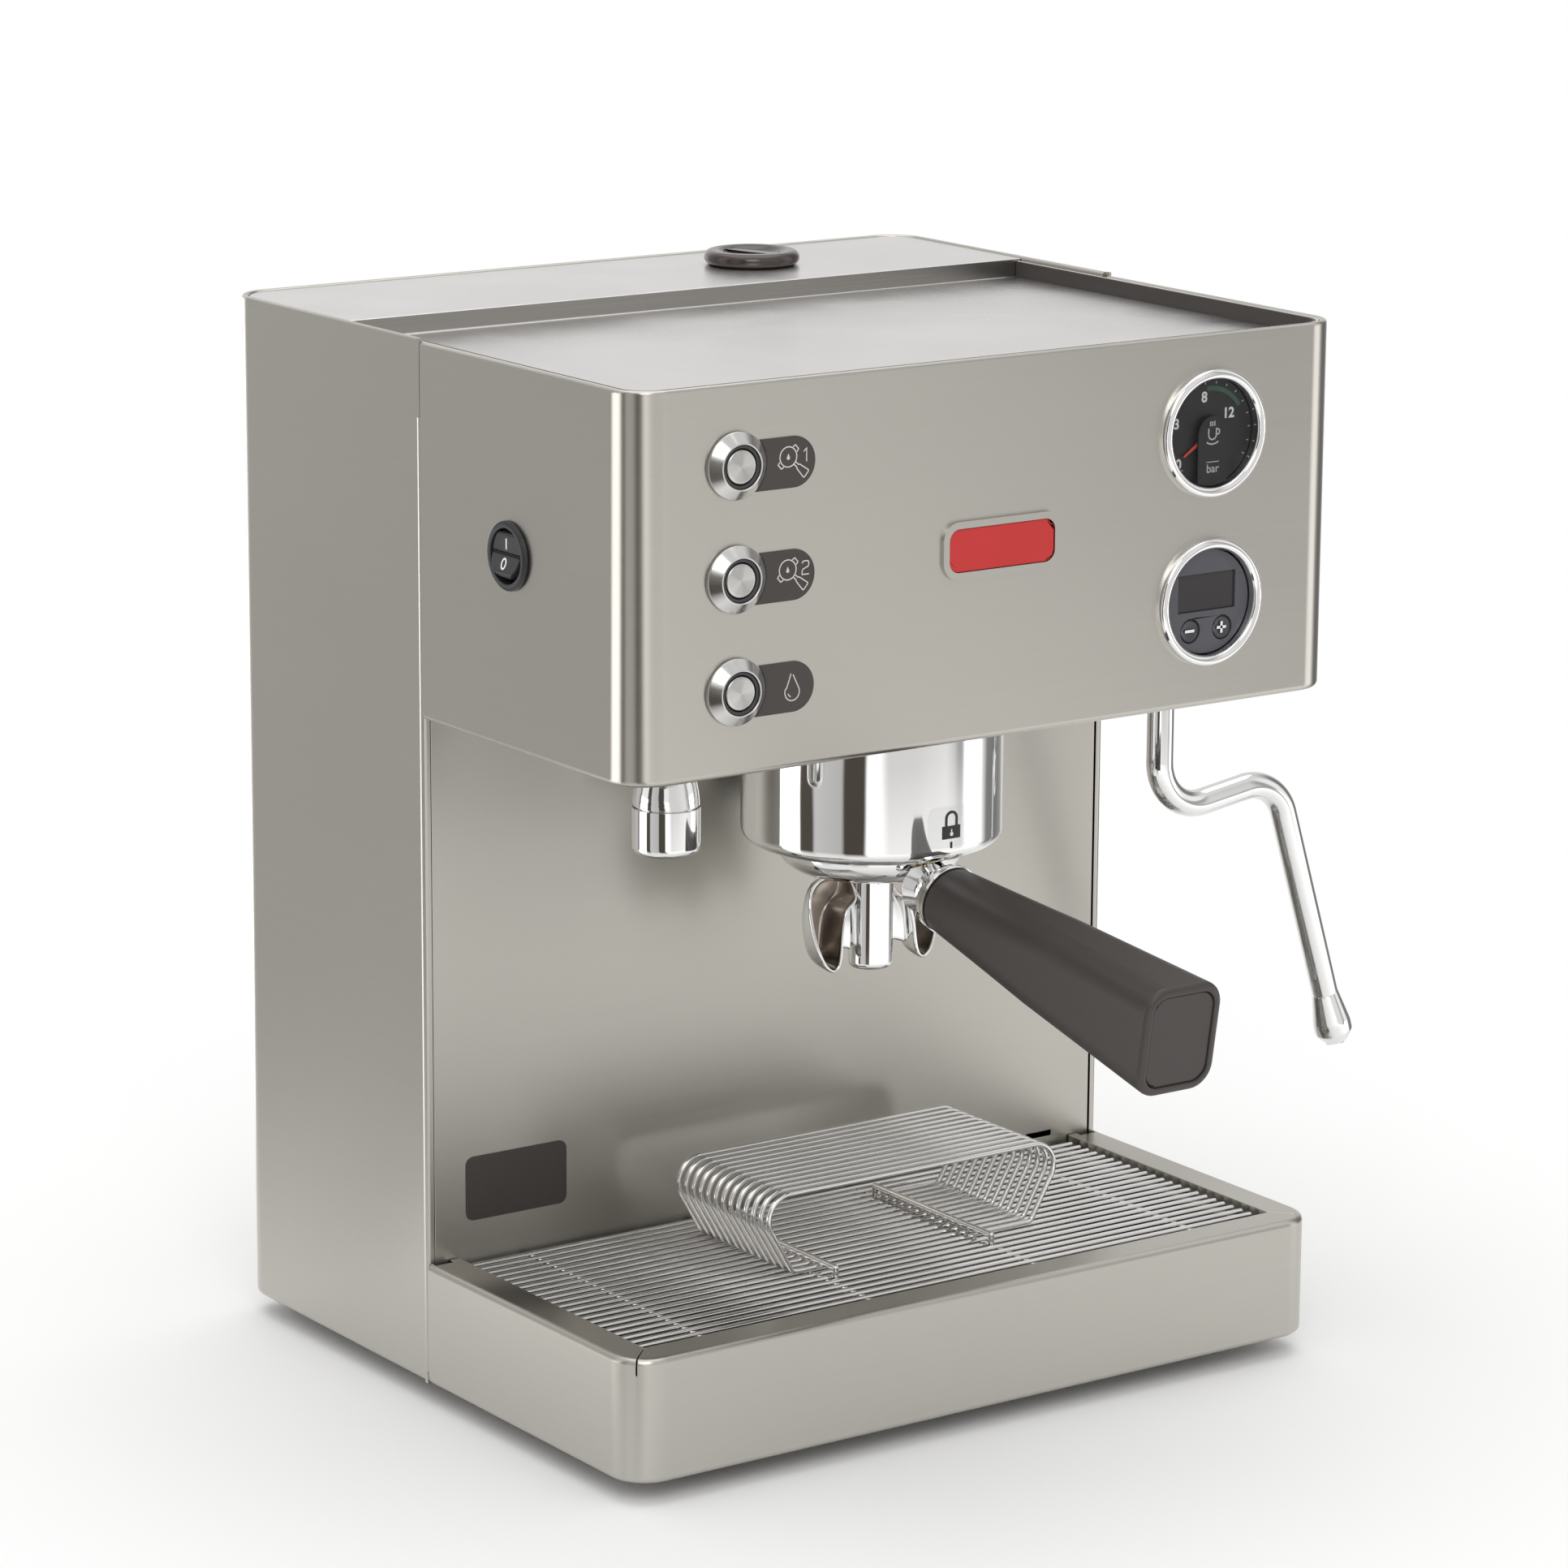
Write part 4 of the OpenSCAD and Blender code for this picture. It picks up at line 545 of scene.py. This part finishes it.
# Print on the gauge's dial: figures, one tick for each bar, and the green band of the working pressure
DIAL_DEPTH, FIGURE, BARS = -1.5, 5.2, 17
dial = Ink(on_front(DIAL_X, GAUGE_Z, DIAL_DEPTH), 0.05)
for text, x, y in (("8", -2.8, 12.6), ("12", 8.4, 6.1), ("3", -15.2, 4.0), ("0", -14.0, -10.6)):
    dial.word(text, x, y, FIGURE, 0.14)
for bar in range(BARS):
    a = math.radians(226 - 16 * bar)
    dial.stroke([(17.4 * math.cos(a), 17.4 * math.sin(a)), (18.2 * math.cos(a), 18.2 * math.sin(a))], 0.22)
dial.done("dial_scale", "machine", WHITE_INK)
band = Ink(on_front(DIAL_X, GAUGE_Z, DIAL_DEPTH), 0.04)
band.stroke(arc(0, 0, 15.7, 96, 33, 24), 1.6)
band.done("dial_green_band", "machine", GREEN_INK)

# Print on the dial's tab: a steaming cup on its saucer, and the unit under a line
CUP_LINE = 0.5
tab = Ink(on_front(DIAL_X, GAUGE_Z, 0.5), 0.05)
tab.stroke([(-2.1, 1.7), (-2.1, -0.6)] + arc(-0.35, -0.6, 1.75, 180, 360, 14) + [(1.4, 1.7)], CUP_LINE)
tab.stroke(arc(1.9, 0.35, 0.95, 110, -110, 12), CUP_LINE)
tab.stroke(arc(-0.3, 0.6, 4.6, 235, 305, 12), CUP_LINE)
for k in (-1, 0, 1):
    x = -0.35 + k * 0.95
    tab.stroke([(x - 0.25, 2.5), (x + 0.15, 3.0), (x - 0.15, 3.6), (x + 0.25, 4.2)], 0.38)
tab.stroke([(-2.8, -10.4), (2.8, -10.4)], 0.28)
tab.word("bar", 0, -12.9, 4.3, 0.02)
tab.done("dial_tab_print", "machine", PALE_INK)

# Plus and minus on the display's keys
for name, side, angles in (("minus", -1, (0,)), ("plus", 1, (0, 90))):
    sign = Ink(on_front(DIAL_X + side * KEY_SPACING, KEYS_Z, -1.35), 0.06)
    for g in angles:
        sign.stroke(turn([(-2.1, 0), (2.1, 0)], g), 1.0)
    sign.done(name + "_sign", name + "_button", WHITE_INK)

# Padlock on a clear film on the group's collar, in strips of 1 mm that follow the collar
LOCK_ANGLE, WRAP_R = 0.9, 47.5
FILM_HALF_W, FILM_HALF_H, FILM_CORNER = 10, 7.6, 3.0


def on_collar(u, v, h):
    """Round the collar, up it, and out from it."""
    t = math.radians(LOCK_ANGLE) + u / WRAP_R
    return at((COLLAR_R + h) * math.sin(t), GROUP_Y - (COLLAR_R + h) * math.cos(t), PADLOCK_Z + v)


def film_edge(u):
    """Lower edge of the film, which has round corners."""
    past = max(0.0, (abs(u) - (FILM_HALF_W - FILM_CORNER)) / FILM_CORNER)
    return -FILM_HALF_H + FILM_CORNER * (1 - math.sqrt(max(0.0, 1 - past ** 2)))


film = Ink(on_collar, 0.05)
for u in range(-FILM_HALF_W, FILM_HALF_W):
    film.fill([(u, film_edge(u)), (u + 1, film_edge(u + 1)), (u + 1, -film_edge(u + 1)), (u, -film_edge(u))])
film.done("lock_film", "machine", FILM)
lock = Ink(lambda u, v, h: on_collar(u, v, h + 0.06), 0.05)
for u in range(-4, 4):
    lock.fill([(u, -4.4), (u + 1, -4.4), (u + 1, 0.3), (u, 0.3)])
lock.stroke([(-2.3, 0.2), (-2.3, 2.4)] + arc(0, 3.0, 2.3, 180, 0, 14) + [(2.3, 2.4), (2.3, 0.2)], 1.0)
lock.stroke([(0, -5.6), (0, -7.9)], 0.9)
lock.done("lock_mark", "machine", BLACK_INK)
hole = Ink(lambda u, v, h: on_collar(u, v, h + 0.12), 0.03)
hole.fill(ring(0.0, -2.7, 0.75, 16))
hole.fill([(-0.3, -2.4), (0.3, -2.4), (0.2, -0.9), (-0.2, -0.9)])
hole.done("lock_keyhole", "machine", WHITE_INK)

# Marks on the rocker switch, each on its own flat
PIVOT_IN, FLAT_TOP, ROCK = 4, 5.36, -18


def on_rocker(tilt):
    """A flat of the rocker: u towards the front, v up along the flat, from the rocker's pivot."""
    c, s = math.cos(math.radians(tilt)), math.sin(math.radians(tilt))
    return lambda u, v, h: at(ROCKER[0] + PIVOT_IN - ((FLAT_TOP + h) * c + v * s), ROCKER[1] - u,
                              ROCKER[2] + v * c - (FLAT_TOP + h) * s)


mark = Ink(on_rocker(0), 0.05)
mark.stroke([(0, 2.4), (0, 6.2)], 0.75)
mark.done("rocker_on_mark", "rocker", WHITE_INK)
mark = Ink(on_rocker(ROCK), 0.05)
mark.stroke([(1.25 * math.cos(t * math.pi / 16), -4.4 + 1.8 * math.sin(t * math.pi / 16)) for t in range(32)],
            0.7, True)
mark.done("rocker_off_mark", "rocker", WHITE_INK)

# Twin spout: a post, and two pods open to the front that turn down to their tips. POD is the outline of a
# pod's opening in x and z, RIM its y from the group's axis at each of those points
POD = [(8.0, 183.4), (15.0, 183.9), (22.0, 182.4), (26.4, 178.6), (28.2, 172.0), (27.9, 164.0), (26.3, 157.0),
       (23.6, 151.4), (20.0, 149.0), (17.0, 151.2), (15.8, 157.0), (15.0, 164.5), (12.8, 171.0), (8.0, 175.0)]
RIM = [3.0, 2.5, 2.0, 0.6, -1.6, -3.6, -5.0, -5.8, -6.0, -6.0, -5.8, -5.4, -4.6, -3.6]
POD_BACK, POD_WALL, POD_FINE = 7.0, 1.4, 3


def curve(pts, t):
    """A closed smooth curve through points of any dimension, t counted in points."""
    n, k = len(pts), int(t)
    f = t - k
    p = [pts[(k + j - 1) % n] for j in range(4)]
    return [0.5 * (2 * p1 + (p2 - p0) * f + (2 * p0 - 5 * p1 + 4 * p2 - p3) * f * f
                   + (3 * p1 - p0 - 3 * p2 + p3) * f ** 3) for p0, p1, p2, p3 in zip(*p)]


def on_group(x, y, z):
    """From the group's axis, z above the case's lower edge."""
    return at(x, GROUP_Y + y, z)


SPOUT = {"stands_for": ["twin_spout"], "slot": "chrome"}
SIDES = ((-1, "left"), (1, "right"))
# The insides of the pods get a darker, browner metal than the chrome: painted shade in the hollows
POD_SHADE_BROWN = polished("spout_inside", (0.42, 0.38, 0.34), 0.22, 0.3)
for side, word in SIDES:
    bm = bmesh.new()
    rows = []
    for v in (0.0, 0.10, 0.28, 0.48, 0.68, 0.86, 1.0):
        # Towards the back each ring is drawn in to a spine that leans to the post at its top
        draw = math.cos(v * math.pi / 2) ** 0.7 * 0.6 + 0.4
        row = []
        for k in range(POD_FINE * len(POD)):
            x, z, rim = curve([(*p, r) for p, r in zip(POD, RIM)], k / POD_FINE)
            cz = min(max(z, 157.0), 177.0)
            cx = 21.5 - max(0.0, cz - 169) * 0.9
            x, z = cx + (x - cx) * draw, cz + (z - cz) * draw
            y = rim + (POD_BACK - rim) * math.sin(v * math.pi / 2)
            row.append(bm.verts.new(on_group(side * x, y, z)))
        rows.append(row)
    skin(bm, rows)
    bm.faces.new(rows[-1])
    bmesh.ops.recalc_face_normals(bm, faces=bm.faces)
    mesh = smooth_mesh(bm, "spout_arm")
    mesh.materials.append(M["chrome"])
    mesh.materials.append(POD_SHADE_BROWN)
    arm = piece("spout_arm_" + word, mesh, "portafilter", M["chrome"], **SPOUT)
    thicken(arm, POD_WALL, use_even_offset=True, material_offset=1)

# The web that joins each pod to the post: (z, reach towards the pod) from its lower edge upwards
WEB = [(153.8, 16.3), (155.6, 16.5), (159.0, 16.4), (163.0, 16.0), (167.0, 14.5), (170.5, 12.4), (173.5, 9.4)]
WEB_ROOT, WEB_Y, WEB_SAG, WEB_ARCH, WEB_WALL, WEB_STEPS = 6.3, 0.2, 2.0, 1.4, 3.4, 6
for side, word in SIDES:
    bm = bmesh.new()
    rows = []
    for k, (z, reach) in enumerate(WEB):
        row = []
        for j in range(WEB_STEPS + 1):
            sag = math.sin(math.pi * j / WEB_STEPS)
            x = WEB_ROOT + (reach - WEB_ROOT) * j / WEB_STEPS
            row.append(bm.verts.new(on_group(side * x, WEB_Y + WEB_SAG * sag, z + (WEB_ARCH * sag if k < 2 else 0))))
        rows.append(row)
    skin(bm, rows, around=False, flip=side)
    web = piece("spout_web_" + word, smooth_mesh(bm, "spout_web"), "portafilter", M["chrome"], **SPOUT)
    thicken(web, WEB_WALL)

POST = [(5.6, 149.0), (5.6, 160.0), (2.0, 161.0), (2.0, 188.6), (3.3, 188.6), (3.3, 185.0), (8.6, 184.9),
        (8.4, 183.5), (8.2, 181.5), (8.2, 150.4), (8.0, 149.2), (7.4, 148.4), (6.6, 148.0), (6.0, 148.2)]
lathe("spout_post", POST, on_group, "portafilter", M["chrome"], **SPOUT)

# Handle: a grip lofted from the round ferrule to its rounded square end
DROOP, AXLE_Z, GRIP_FROM, GRIP_TO = 9.1, 190.4, 49.5, 182.0
FERRULE_D, END_W, END_H, END_R = 24.4, 33.0, 40.0, 9.0


def on_handle(x, y, s):
    """Across and up from the handle's axis, s along it from the group's axis."""
    t = math.radians(DROOP)
    return on_group(x, -s * math.cos(t) - y * math.sin(t), AXLE_Z - s * math.sin(t) + y * math.cos(t))


def rounded(w, h, rad, n=9):
    """Outline of a rectangle with round corners."""
    pts = []
    for k, (sx, sy) in enumerate(((1, 1), (-1, 1), (-1, -1), (1, -1))):
        pts += arc(sx * (w / 2 - rad), sy * (h / 2 - rad), rad, 90 * k, 90 * k + 90, n)
    return pts


def grip_section(s):
    """Width, height and corner radius of the grip."""
    f = (s - GRIP_FROM) / (GRIP_TO - GRIP_FROM)
    w = FERRULE_D + (END_W - FERRULE_D) * f
    h = FERRULE_D + (END_H - FERRULE_D) * f
    square = min(1.0, f * 2.2) ** 0.8
    rad = w / 2 * (1 - square) + END_R * square
    return w, h, min(rad, w / 2)


# Layers of the grip as (place along it, inset): a small round at the ferrule, and a hollow for the end cap
bm = bmesh.new()
rows = []
steps = [GRIP_FROM + 0.8 + (GRIP_TO - 3.0 - GRIP_FROM) * k / 26 for k in range(27)]
layers = [(GRIP_FROM, 1.6), (GRIP_FROM + 0.15, 0.7), (GRIP_FROM + 0.6, 0.12)] + [(s, 0.0) for s in steps]
layers += [(GRIP_TO - 2.2 + 2.2 * math.sin(math.radians(t)), 2.2 - 2.2 * math.cos(math.radians(t)))
           for t in (0, 22, 45, 67, 90)]
layers += [(GRIP_TO, 3.0), (GRIP_TO - 0.35, 3.35), (GRIP_TO - 4.0, 3.35)]
for s, inset in layers:
    w, h, rad = grip_section(min(s, GRIP_TO))
    pts = rounded(w - 2 * inset, h - 2 * inset, max(0.5, rad - inset))
    rows.append([bm.verts.new(on_handle(x, y, s)) for x, y in pts])
skin(bm, rows)
bm.faces.new(rows[0][::-1])
bm.faces.new(rows[-1])
bmesh.ops.recalc_face_normals(bm, faces=bm.faces)
grip = piece("grip_body", smooth_mesh(bm, "grip_body"), "portafilter", M["dark_plastic"], ["handle_grip"],
             "dark_plastic")
grip.modifiers.new("normals", "WEIGHTED_NORMAL").keep_sharp = True

# ---------------------------------------------------------------- floor, light
# Brightness of the room as bright metal sees it, by azimuth in degrees from straight ahead of the machine to
# its right; near the machine the floor in front is even and a little brighter, and the sky is never too bright
STOPS = [(-180, 3.0), (-168, 2.8), (-160, 0.62), (-148, 0.56), (-137, 0.56), (-133, 0.22), (-128, 0.22),
         (-125, 2.6), (-99, 2.6), (-97, 0.09), (-87, 0.09), (-85, 0.64), (-62, 0.54), (-59, 0.08), (-43, 0.08),
         (-40, 1.4), (-29, 1.3), (-23, 0.76), (0, 0.76), (30, 0.88), (37, 0.72), (42, 0.42), (47, 0.42), (52, 1.9),
         (69, 1.9), (75, 0.80), (81, 0.25), (100, 0.20), (114, 0.35), (122, 0.78), (150, 0.78), (160, 1.4)]
NEAR = [(phi, 1.3 if -30 <= phi <= 74 else level) for phi, level in STOPS]
SKY = [(phi, min(level, 1.0)) for phi, level in STOPS]
PEAK, WAVER = 3.0, 0.16
PLAIN, SKY_GREY, WHITE = (0.82, 0.82, 0.82), (0.80, 0.80, 0.80), (1.0, 1.0, 1.0)
FLOOR_HALF = 9


def studio(net, direction, levels):
    """Colour of the room in a direction."""
    sep = net.add("ShaderNodeSeparateXYZ")
    net.link(direction, sep.inputs[0])
    angle = net.math("ARCTAN2", sep.outputs["X"], net.math("MULTIPLY", sep.outputs["Y"], -1.0))
    # The bands waver a little, as the edges of real screens do
    waver = net.noise((1, 1, 1), 2.2, 1.0, 0.5, direction)
    angle = net.math("MULTIPLY_ADD", waver, WAVER, net.math("ADD", angle, -WAVER / 2))
    ramp = net.add("ShaderNodeValToRGB")
    net.link(net.math("MULTIPLY_ADD", angle, 1 / (2 * math.pi), 0.5), ramp.inputs["Fac"])
    stops = ramp.color_ramp.elements
    while len(stops) < len(levels):
        stops.new(0.5)
    for el, (phi, level) in zip(stops, levels):
        el.position = (phi + 180) / 360
    for el, (phi, level) in zip(stops, levels):
        warm = 0.85 if level < 0.1 else 0.99
        el.color = (level / PEAK, level / PEAK * warm, level / PEAK * warm * warm, 1)
    bright = net.add("ShaderNodeVectorMath", operation="SCALE")
    net.link(ramp.outputs["Color"], bright.inputs[0])
    bright.inputs["Scale"].default_value = PEAK
    return bright.outputs[0]


floor_mesh = bpy.data.meshes.new("floor")
floor_mesh.from_pydata([(x * FLOOR_HALF, y * FLOOR_HALF, 0) for x, y in ((-1, -1), (1, -1), (1, 1), (-1, 1))],
                       [], [(0, 1, 2, 3)])
floor = bpy.data.objects.new("floor", floor_mesh)
bpy.context.scene.collection.objects.link(floor)
f = Net("floor").set(rough=0.9, spec=0.1)
f.color(f.tint(f.noise((1, 1, 1), 1.5), (0.90, 0.90, 0.897), (0.92, 0.92, 0.917)))
span = f.add("ShaderNodeVectorMath", operation="LENGTH")
f.link(f.coords.outputs["Object"], span.inputs[0])
far = f.spread(span.outputs["Value"], 0.0, 1.0, 0.30, 0.62)
rays = f.add("ShaderNodeLightPath")
seen = f.math("MAXIMUM", rays.outputs["Is Camera Ray"],
              f.math("MAXIMUM", rays.outputs["Is Glossy Ray"], rays.outputs["Is Transmission Ray"]))
white = f.add("ShaderNodeEmission")
spot = f.coords.outputs["Object"]
room = f.mix(f.spread(span.outputs["Value"], 0.0, 1.0, 0.75, 1.10), studio(f, spot, NEAR), studio(f, spot, STOPS))
f.link(f.mix(rays.outputs["Is Camera Ray"], room, WHITE), white.inputs["Color"])
blend = f.add("ShaderNodeMixShader")
f.link(f.math("MULTIPLY", far, seen), blend.inputs[0])
f.link(f.shader.outputs[0], blend.inputs[1])
f.link(white.outputs[0], blend.inputs[2])
f.link(blend.outputs[0], f.tree.nodes["Material Output"].inputs["Surface"])
floor.data.materials.append(f.mat)

# World: bright metal sees a studio with darker bands by azimuth, and an even sky overhead; the camera sees
# white, and all other light is a plain grey
world = Net("studio", bpy.data.worlds.new("studio"))
bpy.context.scene.world = world.mat
view = world.coords.outputs["Generated"]
height = world.add("ShaderNodeSeparateXYZ")
world.link(view, height.inputs[0])
overhead = world.spread(height.outputs["Z"], 0.0, 1.0, 0.45, 0.8)
around = world.mix(overhead, studio(world, view, SKY), SKY_GREY)
rays = world.add("ShaderNodeLightPath")
around = world.mix(rays.outputs["Is Glossy Ray"], PLAIN, around)
back = world.tree.nodes["Background"]
world.link(world.mix(rays.outputs["Is Camera Ray"], around, WHITE), back.inputs["Color"])
back.inputs["Strength"].default_value = 1.0


def softbox(name, place, look, size, power):
    """A square lamp at a place in metres, turned to look at another."""
    lamp = bpy.data.lights.new(name, "AREA")
    lamp.shape, lamp.size, lamp.energy = "SQUARE", size, power
    o = bpy.data.objects.new(name, lamp)
    o.location = place
    o.rotation_euler = (Vector(look) - Vector(place)).to_track_quat("-Z", "Y").to_euler()
    bpy.context.scene.collection.objects.link(o)


softbox("key", (-1.6, -2.4, 2.4), (0, 0, 0.2), 1.8, 26)
softbox("top", (0.2, 0.4, 3.0), (0, 0, 0.3), 3.0, 30)
